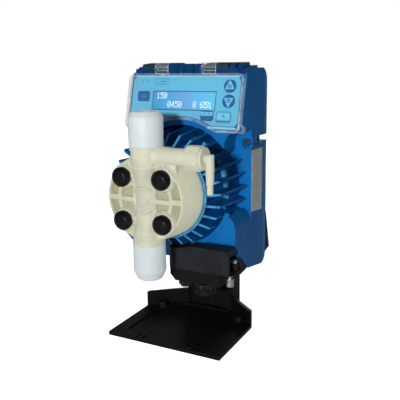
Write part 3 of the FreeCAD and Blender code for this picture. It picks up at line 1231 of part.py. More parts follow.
def terminal_box():
    """Black box that covers the wiring below the barrel, open towards the housing."""
    left, right = TERMINAL_LEFT_X, TERMINAL_RIGHT_X
    box = prism("x", terminal_outline(), left, right)
    gland_block = prism("x", sharp([
        (TERMINAL_FRONT_Y + 1.2, TERMINAL_BOTTOM_Z + 3), (TERMINAL_FRONT_Y + 3.6, GLAND_BLOCK_Z),
        (-2.0, GLAND_BLOCK_Z), (2.0, TERMINAL_HEEL_Z + 5),
    ]), *GLAND_BLOCK_X)
    corner = sharp([(left - 1, 40), (left + 5.6, 40), (left + 5.6, GLAND_BLOCK_Z), (left, TERMINAL_BOTTOM_Z - 4.6),
                    (left - 1, TERMINAL_BOTTOM_Z - 4.6)])
    box = box.fuse(gland_block).cut(prism("y", corner, -30, 30))
    upright = sharp([(left - 1, -30), (left + TERMINAL_CHAMFER, -30), (left + TERMINAL_CHAMFER, TERMINAL_FRONT_Y),
                     (left, TERMINAL_FRONT_Y + TERMINAL_CHAMFER), (left - 1, TERMINAL_FRONT_Y + TERMINAL_CHAMFER)])
    box = box.cut(prism("z", upright, 40, 100))
    hollow = prism("x", inset_outline(terminal_outline(), TERMINAL_WALL), left + TERMINAL_WALL + 2,
                   right - SLOT_DEPTH - TERMINAL_WALL)
    relief = rod("y", TERMINAL_RELIEF_R, TERMINAL_FRONT_Y - 1, 30, 0, AXIS_Z)
    thick_relief = rod("y", TERMINAL_RELIEF_R + TERMINAL_WALL, TERMINAL_FRONT_Y - 1, 30, 0, AXIS_Z)
    box = box.cut(hollow.cut(thick_relief)).cut(relief)
    box = box.cut(block((8, 40), (-10, 16), (68, 78)).common(prism("x", terminal_outline(), 0, 60)))
    box = box.cut(block((right - SLOT_DEPTH, right + 1), SLOT_Y, SLOT_Z))
    post = rod("z", EARTH_POST_R, SLOT_Z[0] - 0.5, EARTH_POST_Z, EARTH_X, EARTH_Y)
    box = fused([box, post])
    box = box.cut(rod("z", 1.5, EARTH_POST_Z - 5, EARTH_POST_Z + 1, EARTH_X, EARTH_Y))
    box = box.cut(rod("z", 2.4, SOCKET_Z[1] - 3, SLOT_Z[0] + 1, SOCKET_X, SOCKET_Y))
    box = box.cut(rod("z", PLUG_R * 0.62 + 0.05, 40, TERMINAL_BOTTOM_Z + 6, PLUG_X, PLUG_Y))
    return box.cut(rod("z", GLAND_R * 0.62 + 0.05, 40, TERMINAL_BOTTOM_Z + 6, GLAND_X, GLAND_Y))


def blanking_plug():
    """Closed plug in the spare cable opening: shank and six-sided head."""
    head = prism("z", sharp(moved(regular(6, PLUG_R * 1.8), PLUG_X, PLUG_Y)), GLAND_BLOCK_Z - 3.2, GLAND_BLOCK_Z)
    crown = turned("z", [(0, GLAND_BLOCK_Z - PLUG_DROP, 0), (PLUG_R * 0.8, GLAND_BLOCK_Z - PLUG_DROP, 1.0),
                         (PLUG_R * 0.8, GLAND_BLOCK_Z - 3.0, 0), (0, GLAND_BLOCK_Z - 3.0, 0)], PLUG_X, PLUG_Y)
    shank = rod("z", PLUG_R * 0.62, GLAND_BLOCK_Z - 1, GLAND_BLOCK_Z + 9, PLUG_X, PLUG_Y)
    return fused([head, crown, shank])


def gland_body():
    """Body of the cable gland: shank in the box, six-sided flange and thread below it."""
    flange = prism("z", sharp(moved(regular(6, GLAND_R * 1.82), GLAND_X, GLAND_Y)), GLAND_BLOCK_Z - GLAND_HEX,
                   GLAND_BLOCK_Z)
    shank = rod("z", GLAND_R * 0.62, GLAND_BLOCK_Z - 1, GLAND_BLOCK_Z + 9, GLAND_X, GLAND_Y)
    thread = rod("z", GLAND_R * 0.68, GLAND_BLOCK_Z - GLAND_HEX - 4, GLAND_BLOCK_Z - 1, GLAND_X, GLAND_Y)
    gland = fused([flange, shank, thread])
    return gland.cut(rod("z", CABLE_R + 0.4, 30, 90, GLAND_X, GLAND_Y))


def gland_nut():
    """Domed nut of the cable gland, with the hole for the cable."""
    top = GLAND_BLOCK_Z - GLAND_HEX - FIT
    low = GLAND_BLOCK_Z - GLAND_DROP
    nut = turned("z", [
        (0, top, 0), (GLAND_R, top, 0.5), (GLAND_R, low + 3.4, 0), (GLAND_R * 0.62, low, 1.5), (0, low, 0),
    ], GLAND_X, GLAND_Y)
    nut = nut.common(prism("z", sharp(moved(regular(10, GLAND_R * 1.97), GLAND_X, GLAND_Y)), low - 1, top + 1))
    nut = nut.cut(rod("z", GLAND_R * 0.68 + 0.1, GLAND_BLOCK_Z - GLAND_HEX - 4.3, top + 1, GLAND_X, GLAND_Y))
    return nut.cut(rod("z", CABLE_R, low - 1, top + 1, GLAND_X, GLAND_Y))


def earth_screw():
    """Plated pan-head screw on the post in the box's open slot."""
    seat = EARTH_POST_Z
    screw = turned("z", [
        (0, seat + 2.4, 0), (2.9, seat + 2.4, 1.1), (2.9, seat, 0), (1.5, seat, 0), (1.5, seat - 4.6, 0),
        (0, seat - 4.6, 0),
    ], EARTH_X, EARTH_Y)
    return screw.cut(block((EARTH_X - 4, EARTH_X + 4), (EARTH_Y - 0.4, EARTH_Y + 0.4), (seat + 1.2, seat + 4)))


def signal_socket():
    """Plated round socket below the box for a level probe's plug, with two locking pegs."""
    low, high = SOCKET_Z
    body = turned("z", [
        (0, low, 0), (SOCKET_R, low, 0.5), (SOCKET_R, high - 1.6, 0), (SOCKET_R + 0.5, high - 1.2, 0),
        (SOCKET_R + 0.5, high, 0), (2.4, high, 0), (2.4, SLOT_Z[0] + 0.6, 0), (0, SLOT_Z[0] + 0.6, 0),
    ], SOCKET_X, SOCKET_Y)
    pegs = rod("y", 0.7, SOCKET_Y - SOCKET_R - 0.8, SOCKET_Y + SOCKET_R + 0.8, SOCKET_X, low + 2.4)
    body = body.fuse(pegs)
    body = body.cut(tube("z", SOCKET_R - 0.8, 1.2, low - 1, low + 4.5, SOCKET_X, SOCKET_Y))
    return body.removeSplitter()


def terminal_blocks():
    """Screw terminals inside the box."""
    body = block((12, 38), (-6.5, 1.5), (69.5, 76.5)).fuse(block((16, 34), (-5.0, 0.0), (63.7, 70.0)))
    for step in range(4):
        body = body.cut(rod("y", 1.8, -8, -3, 15.2 + 6.5 * step, 74.0))
    pins = block((14, 36), (1.0, 10.0), (72.2, 73.6))
    return fused([body, pins])


# ------------------------------------------------------------------ mounting bracket
def base_outline():
    """Plan of the base plate: straight front and sides, slanted rear, foot of the upright."""
    half_column = COLUMN_WIDTH / 2
    rear = HOUSING_REAR_Y + SADDLE_DEPTH
    return sharp([
        (-HALF, BASE_FRONT_Y), (HALF, BASE_FRONT_Y), (HALF, BASE_SIDE_END_Y), (half_column, COLUMN_FRONT_Y),
        (half_column, rear), (-half_column, rear), (-half_column, COLUMN_FRONT_Y), (-HALF, BASE_SIDE_END_Y),
    ])


def bracket_screw_places():
    """(x, z) of the two screws that hold the housing to the upright."""
    return [(-30.0, 78.0), (30.0, 78.0)]


def base_hole_places():
    """(x, y) of the four fixing holes, front pair first."""
    front, rear = FRONT_HOLE_SPACING / 2, REAR_HOLE_SPACING / 2
    return [(-front, FRONT_HOLES_Y), (front, FRONT_HOLES_Y), (-rear, REAR_HOLES_Y), (rear, REAR_HOLES_Y)]


def mounting_bracket():
    """Black bracket: base plate with border and bosses, slanted rear walls, hollow upright and saddle."""
    plate = prism("z", base_outline(), 0, BASE_THICK)
    half_column = COLUMN_WIDTH / 2
    floor_cut = prism("z", [
        (-HALF + BASE_BORDER + 3, BASE_FRONT_Y + BASE_BORDER + 1, 4), (HALF - BASE_BORDER - 3,
                                                                      BASE_FRONT_Y + BASE_BORDER + 1, 4),
        (HALF - BASE_BORDER - 3, BASE_SIDE_END_Y - 9, 4), (half_column, COLUMN_FRONT_Y - 7, 4),
        (-half_column, COLUMN_FRONT_Y - 7, 4), (-HALF + BASE_BORDER + 3, BASE_SIDE_END_Y - 9, 4),
    ], BASE_THICK - BASE_RECESS, BASE_THICK + 1)
    plate = plate.cut(floor_cut)
    wall_plan = [
        (HALF, BASE_SIDE_END_Y), (half_column, COLUMN_FRONT_Y),
        (half_column - BRACKET_WALL, COLUMN_FRONT_Y + 1.0), (half_column - BRACKET_WALL, COLUMN_FRONT_Y - 3.7),
        (half_column, COLUMN_FRONT_Y - 3.7), (HALF, BASE_SIDE_END_Y - 3.7),
    ]
    wall = prism("z", sharp(wall_plan), 0, REAR_WALL_TOP_Z)
    rear = HOUSING_REAR_Y + SADDLE_DEPTH
    shoulder_z = FLOOR_REAR_Z - 0.2
    column = block((-half_column, half_column), (COLUMN_FRONT_Y, rear), (0, shoulder_z))
    column = column.fuse(block((-half_column, half_column), (HOUSING_REAR_Y, rear), (0, SADDLE_BOTTOM_Z + 2)))
    saddle = prism("x", sharp([
        (HOUSING_REAR_Y, SADDLE_BOTTOM_Z), (rear, SADDLE_BOTTOM_Z + 2.6),
        (HOUSING_REAR_Y + 2.4, SADDLE_TOP_Z + 1), (HOUSING_REAR_Y, SADDLE_TOP_Z + 1),
    ]), -HALF + 0.5, HALF - 0.5)
    bracket = fused([plate, wall, mirrored(wall), column, saddle])
    hollow = block((-half_column + BRACKET_WALL, half_column - BRACKET_WALL),
                   (COLUMN_FRONT_Y + BRACKET_WALL, rear + 1), (BASE_THICK, shoulder_z - BRACKET_WALL))
    bracket = bracket.cut(hollow)
    for low, high in ((-HALF + 3.0, -half_column - 1.5), (-half_column + 3.0, half_column - 3.0),
                      (half_column + 1.5, HALF - 3.0)):
        pocket = prism("x", sharp([
            (HOUSING_REAR_Y + 3.0, SADDLE_BOTTOM_Z + 4.5), (rear + 5, SADDLE_BOTTOM_Z + 6.2),
            (rear + 5, SADDLE_TOP_Z - 5), (HOUSING_REAR_Y + 3.0, SADDLE_TOP_Z - 8),
        ]), low, high)
        bracket = bracket.cut(pocket)
    ribs = [block((-half_column + 1, half_column - 1), (COLUMN_FRONT_Y + 1, rear - 2.0), (z, z + 2.4))
            for z in (20.0, 36.0)]
    bosses = []
    for x, y in base_hole_places():
        top = BASE_THICK + (1.2 if y < 0 else 4.8)
        bosses.append(turned("z", [(0, 0, 0), (5.2, 0, 0), (4.6, top, 0.6), (0, top, 0)], x, y))
    bracket = fused([bracket] + ribs + bosses)
    for x, y in base_hole_places():
        bracket = bracket.cut(rod("z", BASE_HOLE_R, -1, 20, x, y))
    for x, z in bracket_screw_places():
        bracket = bracket.cut(rod("y", 1.8, HOUSING_REAR_Y - 1, rear + 2, x, z))
    dimple = rod("z", 0.9, BASE_THICK - 0.6, BASE_THICK + 1, 0, BASE_FRONT_Y + 3.2)
    return bracket.cut(dimple)


def bracket_screws():
    """Two screws from behind, through the saddle into the rear cover."""
    screws = []
    for x, z in bracket_screw_places():
        seat = HOUSING_REAR_Y + 3.0
        screw = turned("y", [
            (0, seat + 2.4, 0), (3.4, seat + 2.4, 1.0), (3.4, seat, 0), (1.6, seat, 0),
            (1.6, COVER_SEAM_Y + 2.0, 0), (0, COVER_SEAM_Y + 2.0, 0),
        ], x, z)
        screws.append(screw.cut(block((x - 2.6, x + 2.6), (seat + 1.2, seat + 4), (z - 0.4, z + 0.4))))
    return Part.makeCompound(screws)


# ------------------------------------------------------------------ write every piece
def pieces():
    """Name and shape of every piece."""
    yield "mounting_bracket", mounting_bracket()
    yield "bracket_screws", bracket_screws()
    yield "front_housing", front_housing()
    yield "rear_cover", rear_cover()
    yield "housing_seal", housing_seal()
    yield "cover_screws", Part.makeCompound(cover_screws())
    yield "label_plate", label_plate()
    yield "keypad_panel", keypad_panel()
    yield "display_lens", display_lens()
    yield "display_module", display_module()
    yield "control_board", control_board()
    for key in KEYS:
        yield key[0], key_cap(key)
    yield "clear_cover", clear_cover()
    yield "hinge_pins", hinge_pins()
    yield "hinge_clips", hinge_clips()
    yield "finned_barrel", finned_barrel()
    yield "solenoid_can", solenoid_can()
    yield "solenoid_cover", solenoid_cover()
    yield "coil_bobbin", coil_bobbin()
    yield "coil_winding", coil_winding()
    yield "guide_tube", guide_tube()
    yield "fixed_core", fixed_core()
    yield "rod_bush", rod_bush()
    yield "armature", armature()
    yield "push_rod", push_rod()
    yield "bump_stop", bump_stop()
    yield "return_spring", return_spring()
    yield "diaphragm", diaphragm()
    yield "diaphragm_disc", diaphragm_disc()
    yield "pump_head", pump_head()
    yield "head_bolts", head_bolts()
    yield "bolt_caps", bolt_caps()
    for port, upward in (("discharge", True), ("suction", False)):
        yield port + "_valve_body", valve_body(upward)
        yield port + "_valve_seat", valve_seat(upward)
        yield port + "_ball", valve_ball(upward)
        yield port + "_seal", valve_seal(upward)
        yield port + "_hose_cone", hose_cone(upward)
        yield port + "_nut", hose_nut(upward)
    yield "bleed_knob", bleed_knob()
    yield "bleed_elbow", bleed_elbow()
    yield "bleed_seal", bleed_seal()
    yield "terminal_box", terminal_box()
    yield "blanking_plug", blanking_plug()
    yield "gland_body", gland_body()
    yield "gland_nut", gland_nut()
    yield "earth_screw", earth_screw()
    yield "signal_socket", signal_socket()
    yield "terminal_blocks", terminal_blocks()


os.makedirs("parts", exist_ok=True)
for name, shape in pieces():
    shape.exportStep("parts/" + name + ".step")
    print(name, len(shape.Solids), "valid" if shape.isValid() else "NOT VALID", round(shape.Volume, 1))
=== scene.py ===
"""Diaphragm metering pump: finishes, printed panel, small parts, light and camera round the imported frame.

Everything is in metres in the frame of the solids: X across, Y towards the back, Z up, the origin in the
middle of the base plate's four holes. Named sizes are in millimetres unless their comment says otherwise.
"""
import json
import math

import bmesh
import bpy
import numpy as np
from mathutils import Matrix, Vector

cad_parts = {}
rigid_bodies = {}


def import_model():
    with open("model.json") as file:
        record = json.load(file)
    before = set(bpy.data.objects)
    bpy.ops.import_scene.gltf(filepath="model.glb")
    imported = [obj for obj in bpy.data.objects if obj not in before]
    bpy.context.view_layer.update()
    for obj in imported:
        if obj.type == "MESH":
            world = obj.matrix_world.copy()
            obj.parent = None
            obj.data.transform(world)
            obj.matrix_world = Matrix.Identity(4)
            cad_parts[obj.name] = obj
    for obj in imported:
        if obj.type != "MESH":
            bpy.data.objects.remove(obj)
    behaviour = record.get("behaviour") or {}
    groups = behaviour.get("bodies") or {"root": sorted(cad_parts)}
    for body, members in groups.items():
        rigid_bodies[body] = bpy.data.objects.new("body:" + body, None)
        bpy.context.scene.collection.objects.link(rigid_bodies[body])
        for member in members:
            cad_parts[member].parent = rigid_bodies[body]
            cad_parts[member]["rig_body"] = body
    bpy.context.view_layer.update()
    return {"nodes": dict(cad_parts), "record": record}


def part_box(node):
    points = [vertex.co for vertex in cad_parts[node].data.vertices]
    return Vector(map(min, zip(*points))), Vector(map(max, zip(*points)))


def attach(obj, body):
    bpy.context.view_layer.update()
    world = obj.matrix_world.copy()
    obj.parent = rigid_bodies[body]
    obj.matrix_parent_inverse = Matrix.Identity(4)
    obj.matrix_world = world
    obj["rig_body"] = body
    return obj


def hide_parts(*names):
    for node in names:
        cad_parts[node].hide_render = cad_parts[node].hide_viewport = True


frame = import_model()

MM = 0.001
SLOTS = {part["node"]: part["material_slot"] for part in frame["record"]["subparts"]}

# ------------------------------------------------------------------ panel facts shared with the solids, mm
PANEL_TILT = math.radians(14.0)
SHEET_THICK = 0.8
SHEET_BOTTOM = 41.0             # lower edge of the keypad sheet, down the slope
INK = 0.06                      # how far printed ink stands on a sheet
AXIS_Z = 130.0                  # height of the pumping axis
DISPLAY = (0.0, 21.1, 58.0, 14.6)  # the display's centre across and down, width and height


# ------------------------------------------------------------------ finishes
GLOSS_SWING = 0.06               # how far the roughness swings about its middle
GRAIN_DEPTH = 0.2                # depth of the surface grain
TONE_RANGE = (0.3, 0.7)          # the mottle's noise turns from its dark to its light tone between these
FACING_RANGE = (0.15, 0.75)      # clear plastic turns from its face's to its wall's opacity between these


def linear(colour):
    """sRGB bytes to the linear colour that a shader takes."""
    share = np.asarray(colour, float) / 255.0
    return tuple(np.where(share <= 0.04045, share / 12.92, ((share + 0.055) / 1.055) ** 2.4))


def shade(colour, factor):
    """The same hue, lighter or darker."""
    return tuple(min(255.0, c * factor) for c in colour)


def finish(name, colour, rough=0.45, specular=0.4, mottle=0.06, mottle_size=14.0, grain=0.05, grain_size=0.5,
           metallic=0.0, emission=0.0):
    """A moulded, painted or plated finish: soft colour mottle, uneven gloss and fine surface grain.

    Sizes are in millimetres, mottle is the share by which the colour varies, and emission is the share of the
    colour that the piece gives off as a painted glow, though it is no lamp.
    """
    material = bpy.data.materials.new(name)
    material.use_nodes = True
    tree = material.node_tree
    shader = tree.nodes["Principled BSDF"]
    place = tree.nodes.new("ShaderNodeTexCoord")
    broad = tree.nodes.new("ShaderNodeTexNoise")
    broad.inputs["Scale"].default_value = 1.0 / (mottle_size * MM)
    broad.inputs["Detail"].default_value = 4.0
    tree.links.new(place.outputs["Object"], broad.inputs["Vector"])
    tones = tree.nodes.new("ShaderNodeValToRGB")
    swing = (1.0 - mottle, 1.0 + mottle * 0.6)
    for element, position, factor in zip(tones.color_ramp.elements, TONE_RANGE, swing):
        element.position = position
        element.color = linear(shade(colour, factor)) + (1.0,)
    tree.links.new(broad.outputs["Fac"], tones.inputs["Fac"])
    tree.links.new(tones.outputs["Color"], shader.inputs["Base Color"])
    sheen = tree.nodes.new("ShaderNodeMapRange")
    sheen.inputs["To Min"].default_value = max(0.02, rough - GLOSS_SWING)
    sheen.inputs["To Max"].default_value = min(1.0, rough + GLOSS_SWING)
    tree.links.new(broad.outputs["Fac"], sheen.inputs["Value"])
    tree.links.new(sheen.outputs["Result"], shader.inputs["Roughness"])
    if grain:
        fine = tree.nodes.new("ShaderNodeTexNoise")
        fine.inputs["Scale"].default_value = 1.0 / (grain_size * MM)
        fine.inputs["Detail"].default_value = 2.0
        bump = tree.nodes.new("ShaderNodeBump")
        bump.inputs["Strength"].default_value = grain
        bump.inputs["Distance"].default_value = GRAIN_DEPTH * MM
        tree.links.new(place.outputs["Object"], fine.inputs["Vector"])
        tree.links.new(fine.outputs["Fac"], bump.inputs["Height"])
        tree.links.new(bump.outputs["Normal"], shader.inputs["Normal"])
    shader.inputs["Specular IOR Level"].default_value = specular
    shader.inputs["Metallic"].default_value = metallic
    if emission:
        tree.links.new(tones.outputs["Color"], shader.inputs["Emission Color"])
        shader.inputs["Emission Strength"].default_value = emission
    return material


def share_along(tree, axis, low, high):
    """Socket that runs from 0 to 1 between two places, in millimetres, along one of the piece's own axes."""
    place = tree.nodes.new("ShaderNodeTexCoord")
    apart = tree.nodes.new("ShaderNodeSeparateXYZ")
    share = tree.nodes.new("ShaderNodeMapRange")
    share.inputs["From Min"].default_value = low * MM
    share.inputs["From Max"].default_value = high * MM
    tree.links.new(place.outputs["Object"], apart.inputs["Vector"])
    tree.links.new(apart.outputs[axis], share.inputs["Value"])
    return share.outputs["Result"]


def painted_shade_towards_back(material, near, far, colour):
    """Painted shade in hollows: the finish's colour passes to another between two places towards the back, in
    millimetres.
    """
    tree = material.node_tree
    shader = tree.nodes["Principled BSDF"]
    own = shader.inputs["Base Color"].links[0].from_socket
    mixed = tree.nodes.new("ShaderNodeMix")
    mixed.data_type = "RGBA"
    mixed.inputs["B"].default_value = linear(colour) + (1.0,)
    tree.links.new(share_along(tree, "Y", near, far), mixed.inputs["Factor"])
    tree.links.new(own, mixed.inputs["A"])
    tree.links.new(mixed.outputs["Result"], shader.inputs["Base Color"])
    tree.links.new(mixed.outputs["Result"], shader.inputs["Emission Color"])
    return material


def clear_finish(name, tint, face_alpha, edge_alpha):
    """Clear plastic seen thin from the front and whiter where it is seen along its wall, partly from its
    depth and partly as painted reflection.
    """
    material = finish(name, tint, rough=0.08, specular=0.5, grain=0.02)
    tree = material.node_tree
    shader = tree.nodes["Principled BSDF"]
    layer = tree.nodes.new("ShaderNodeLayerWeight")
    layer.inputs["Blend"].default_value = 0.5
    spread = tree.nodes.new("ShaderNodeMapRange")
    spread.inputs["From Min"].default_value = FACING_RANGE[0]
    spread.inputs["From Max"].default_value = FACING_RANGE[1]
    spread.inputs["To Min"].default_value = face_alpha
    spread.inputs["To Max"].default_value = edge_alpha
    tree.links.new(layer.outputs["Facing"], spread.inputs["Value"])
    tree.links.new(spread.outputs["Result"], shader.inputs["Alpha"])
    return material


def banded_finish(name, stops):
    """A film whose tone changes from left to right; stops are (millimetres across, colour)."""
    first, last = stops[0][0], stops[-1][0]
    material = finish(name, stops[0][1], rough=0.3, specular=0.3, grain=0.0)
    tree = material.node_tree
    ramp = tree.nodes.new("ShaderNodeValToRGB")
    while len(ramp.color_ramp.elements) < len(stops):
        ramp.color_ramp.elements.new(0.5)
    for element, (x, colour) in zip(ramp.color_ramp.elements, stops):
        element.position = (x - first) / (last - first)
        element.color = linear(colour) + (1.0,)
    tree.links.new(share_along(tree, "X", first, last), ramp.inputs["Fac"])
    tree.links.new(ramp.outputs["Color"], tree.nodes["Principled BSDF"].inputs["Base Color"])
    return material


CREAM = (150, 150, 134)
PAINTED_GLOW = 0.7                       # painted glow of the milky plastics, a share of their colour, in place of light passed on from inside
PAINT = dict(rough=0.42, mottle=0.08, mottle_size=22, grain=0.1, grain_size=0.9)
MILKY_PAINTED_GLOW = dict(grain=0.05, grain_size=1.2, emission=PAINTED_GLOW)
FINISHES = {
    "black_moulding": finish("satin_black_moulding", (28, 31, 34), rough=0.5, specular=0.1, mottle=0.22,
                             grain=0.16, grain_size=0.7),
    "blue_paint": finish("blue_powder_coat", (2, 92, 156), specular=0.12, **PAINT),
    "steel": finish("plated_steel", (176, 178, 182), rough=0.32, metallic=1.0, mottle=0.08, grain_size=0.3),
    "soft_black": finish("soft_black_rubber", (24, 24, 26), rough=0.42, specular=0.2, mottle=0.15, grain=0.1),
    "label": finish("blank_label_film", (166, 176, 176), specular=0.15, mottle=0.1, mottle_size=4),
    "keypad": finish("keypad_film", (86, 167, 198), rough=0.35, specular=0.2, mottle=0.05, mottle_size=60,
                     grain=0.03),
    "key_blue": finish("key_film_blue", (10, 80, 140), rough=0.35, specular=0.2, mottle=0.08, mottle_size=5),
    "lens": banded_finish("display_lens", [(-29, (52, 146, 192)), (-14, (72, 158, 206)), (-2, (96, 154, 204)),
                                           (6, (98, 160, 206)), (15, (82, 172, 216)), (29, (86, 178, 218))]),
    "display": finish("display_frame", (30, 40, 52), rough=0.5),
    "board": finish("circuit_board_green", (22, 92, 52), rough=0.4, mottle=0.2, mottle_size=4),
    "clear": clear_finish("clear_cover_plastic", (196, 214, 220), 0.02, 0.3),
    # a dark grey-green for the hinge clips
    "dark_clip": finish("dark_clip_tone", (20, 48, 58), specular=0.2, mottle=0.2, mottle_size=5),
    "copper": finish("enamelled_copper", (180, 98, 52), rough=0.35, metallic=0.8, mottle=0.15, mottle_size=2),
    "brass": finish("turned_brass", (190, 158, 88), rough=0.3, metallic=1.0, mottle=0.08),
    "bobbin": finish("bobbin_nylon", (206, 200, 184), rough=0.5),
    "white_face": finish("diaphragm_face", (228, 228, 224), rough=0.35),
    # the cream head and the white nuts glow with painted light
    "cream": finish("cream_moulding", CREAM, specular=0.2, mottle=0.03, mottle_size=18, **MILKY_PAINTED_GLOW),
    "white_nut": finish("white_nut_moulding", (152, 159, 160), rough=0.4, specular=0.2, mottle=0.02,
                        grain=0.04, emission=PAINTED_GLOW),
    "ceramic": finish("ceramic_ball", (236, 234, 224), rough=0.15, grain=0.0),
}
# lighter tones for the rounded edges: painted highlights where the edges catch the light
EDGE_HIGHLIGHTS = {
    "blue_paint": finish("blue_edge_painted_highlight", (58, 134, 182), rough=0.35, specular=0.3, mottle=0.2,
                         mottle_size=4),
    "black_moulding": finish("black_edge_painted_highlight", (40, 43, 46), rough=0.5, specular=0.1, mottle=0.25,
                             mottle_size=5),
    "clear": finish("clear_cover_edge_painted_highlight", (200, 220, 228), rough=0.2, specular=0.5, mottle=0.3, mottle_size=5),
    "dark_clip": finish("clip_edge_painted_highlight", (56, 82, 88), rough=0.35, mottle=0.15, mottle_size=4),
}
# whiter, more opaque clear finish for the cover's left wall: painted reflection
CLEAR_WALL_PAINTED_REFLECTION = clear_finish("clear_cover_wall_painted_reflection", (160, 172, 177), 0.25, 0.6)
# lighter cream for the head's side wall: painted light where the rounded side catches the lamp
HEAD_SIDE_PAINTED_LIGHT = finish("cream_side_painted_light", (169, 170, 150), rough=0.5, specular=0.15, mottle=0.03, mottle_size=20,
                   **MILKY_PAINTED_GLOW)
# the head's face darkens towards the bottoms of its hollows: painted shade
HEAD_FACE_PAINTED_SHADE = painted_shade_towards_back(finish("cream_face_painted_shade", shade(CREAM, 0.97), specular=0.2, mottle=0.05, mottle_size=9,
                            **MILKY_PAINTED_GLOW), -55.8, -52.4, (118, 115, 90))
# light blue for the bead round the head and the side holes' rims: painted highlight
RING_PAINTED_HIGHLIGHT = finish("head_ring_painted_highlight", (48, 118, 158), rough=0.4, specular=0.2, mottle=0.15, mottle_size=6)
BRACKET_BLACK = finish("bracket_black", (12, 12, 13), rough=0.5, specular=0.12, mottle=0.3, mottle_size=16,
                       grain=0.14, grain_size=0.7)
# light grey on the edges of the black base and the black fittings: painted highlight
BRACKET_EDGE_HIGHLIGHT = finish("bracket_edge_painted_highlight", (58, 58, 60), rough=0.3, specular=0.45, mottle=0.3, mottle_size=5)
# near-black: the glands' own black, and painted shade on the terminal box's lower part and edges and in the
# side holes
DEEP_BLACK_AND_PAINTED_SHADE = finish("deep_black_moulding_and_painted_shade", (17, 17, 19), rough=0.5, specular=0.1, mottle=0.2, mottle_size=6)
CAP_BLACK = finish("cap_rubber", (9, 9, 11), rough=0.34, specular=0.14, mottle=0.2, mottle_size=5, grain=0.1)
# deeper blue for the roof, its ribs and the screw scoops: painted shade
ROOF_PAINTED_SHADE_BLUE = finish("shaded_roof_blue", (2, 42, 90), rough=0.5, specular=0.12, mottle=0.1, mottle_size=9)
# a lighter blue than the housing's for the rear cover: painted highlight along the side's rear edge
REAR_PAINTED_HIGHLIGHT_BLUE = finish("rear_cover_painted_highlight", (6, 108, 170), specular=0.2, **PAINT)
# a darker copy of the blue paint for the finned barrel: painted shade among the fins
BARREL_PAINTED_SHADE_BLUE = finish("barrel_blue_in_painted_shade", (1, 80, 146), specular=0.12, **PAINT)
# matte light grey in place of plated metal for the earth screw: its lightness is painted reflection
EARTH_SCREW_PAINTED_SHEEN = finish("earth_screw_painted_sheen", (150, 154, 156), rough=0.4, specular=0.4, mottle=0.1, mottle_size=2)
# dark blue in place of plated metal for the cover screws: painted shade of their pockets
COVER_SCREW_PAINTED_SHADE = finish("cover_screw_painted_shade", (8, 34, 74), mottle=0.2, mottle_size=2)
SCREW_PAINTED_LIGHT = {"cover_screws": COVER_SCREW_PAINTED_SHADE, "earth_screw": EARTH_SCREW_PAINTED_SHEEN}


# ------------------------------------------------------------------ dressing the solids
WELD = 0.002                     # a solid's points are joined on a grid this fine
FLAT = math.radians(0.4)         # faces that turn less than this against each other become one
ROUND_STEPS = 2                  # segments across a broken edge


def welded(node):
    """A solid's triangles with the points that they share joined: (points, triangles)."""
    mesh = frame["nodes"][node].data
    points = np.empty(len(mesh.vertices) * 3)
    mesh.vertices.foreach_get("co", points)
    corners = np.empty(len(mesh.loops), np.int64)
    mesh.loops.foreach_get("vertex_index", corners)
    points = points.reshape(-1, 3)
    _, first, place = np.unique(np.round(points / (WELD * MM)).astype(np.int64), axis=0, return_index=True,
                                return_inverse=True)
    triangles = place.reshape(-1)[corners].reshape(-1, 3)
    whole = (triangles[:, 0] != triangles[:, 1]) & (triangles[:, 1] != triangles[:, 2]) \
        & (triangles[:, 0] != triangles[:, 2])
    return points[first], triangles[whole]


def made(name, points, faces, materials, body, replaces=(), smooth_angle=35.0):
    """A finished piece from points in metres: smooth below an angle, on a body, with its materials."""
    mesh = bpy.data.meshes.new(name)
    mesh.from_pydata(np.asarray(points, float).tolist(), [], [list(map(int, f)) for f in faces])
    mesh.validate()
    piece = bpy.data.objects.new(name, mesh)
    bpy.context.scene.collection.objects.link(piece)
    for material in materials:
        mesh.materials.append(material)
    mesh.polygons.foreach_set("use_smooth", np.ones(len(mesh.polygons), bool))
    mesh.set_sharp_from_angle(angle=math.radians(smooth_angle))
    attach(piece, body)
    if replaces:
        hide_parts(*replaces)
    return piece


def dressed(node, edge, limit=32.0, base=None, tint=None, extra=None, edge_tone=None):
    """A copy of a solid with its flat faces joined and its edges broken by a small round in an edge tone, in
    most finishes a lighter one that is a painted highlight.

    edge is the round's width and limit the angle in degrees past which an edge gets it. From the faces'
    centres in millimetres and their normals, tint gives each one's material: 0 base, 1 edge, 2 extra.
    """
    points, triangles = welded(node)
    slot = SLOTS[node]
    materials = [base or FINISHES[slot], edge_tone or EDGE_HIGHLIGHTS.get(slot, FINISHES[slot])]
    if extra:
        materials.append(extra)
    body = frame["nodes"][node]["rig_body"]
    piece = made(node + "_dressed", points, triangles, materials, body, [node])
    whole = bmesh.new()
    whole.from_mesh(piece.data)
    bmesh.ops.dissolve_limit(whole, angle_limit=FLAT, verts=whole.verts, edges=whole.edges)
    whole.to_mesh(piece.data)
    whole.free()
    piece.data.set_sharp_from_angle(angle=math.radians(limit))
    if tint:
        centres = np.array([face.center for face in piece.data.polygons]) / MM
        normals = np.array([face.normal for face in piece.data.polygons])
        piece.data.polygons.foreach_set("material_index", tint(centres, normals).astype(np.int32))
    rounding = piece.modifiers.new("broken_edges", "BEVEL")
    rounding.width = edge * MM
    rounding.segments = ROUND_STEPS
    rounding.limit_method = "ANGLE"
    rounding.angle_limit = math.radians(limit)
    rounding.use_clamp_overlap = True
    rounding.harden_normals = True
    rounding.material = 1


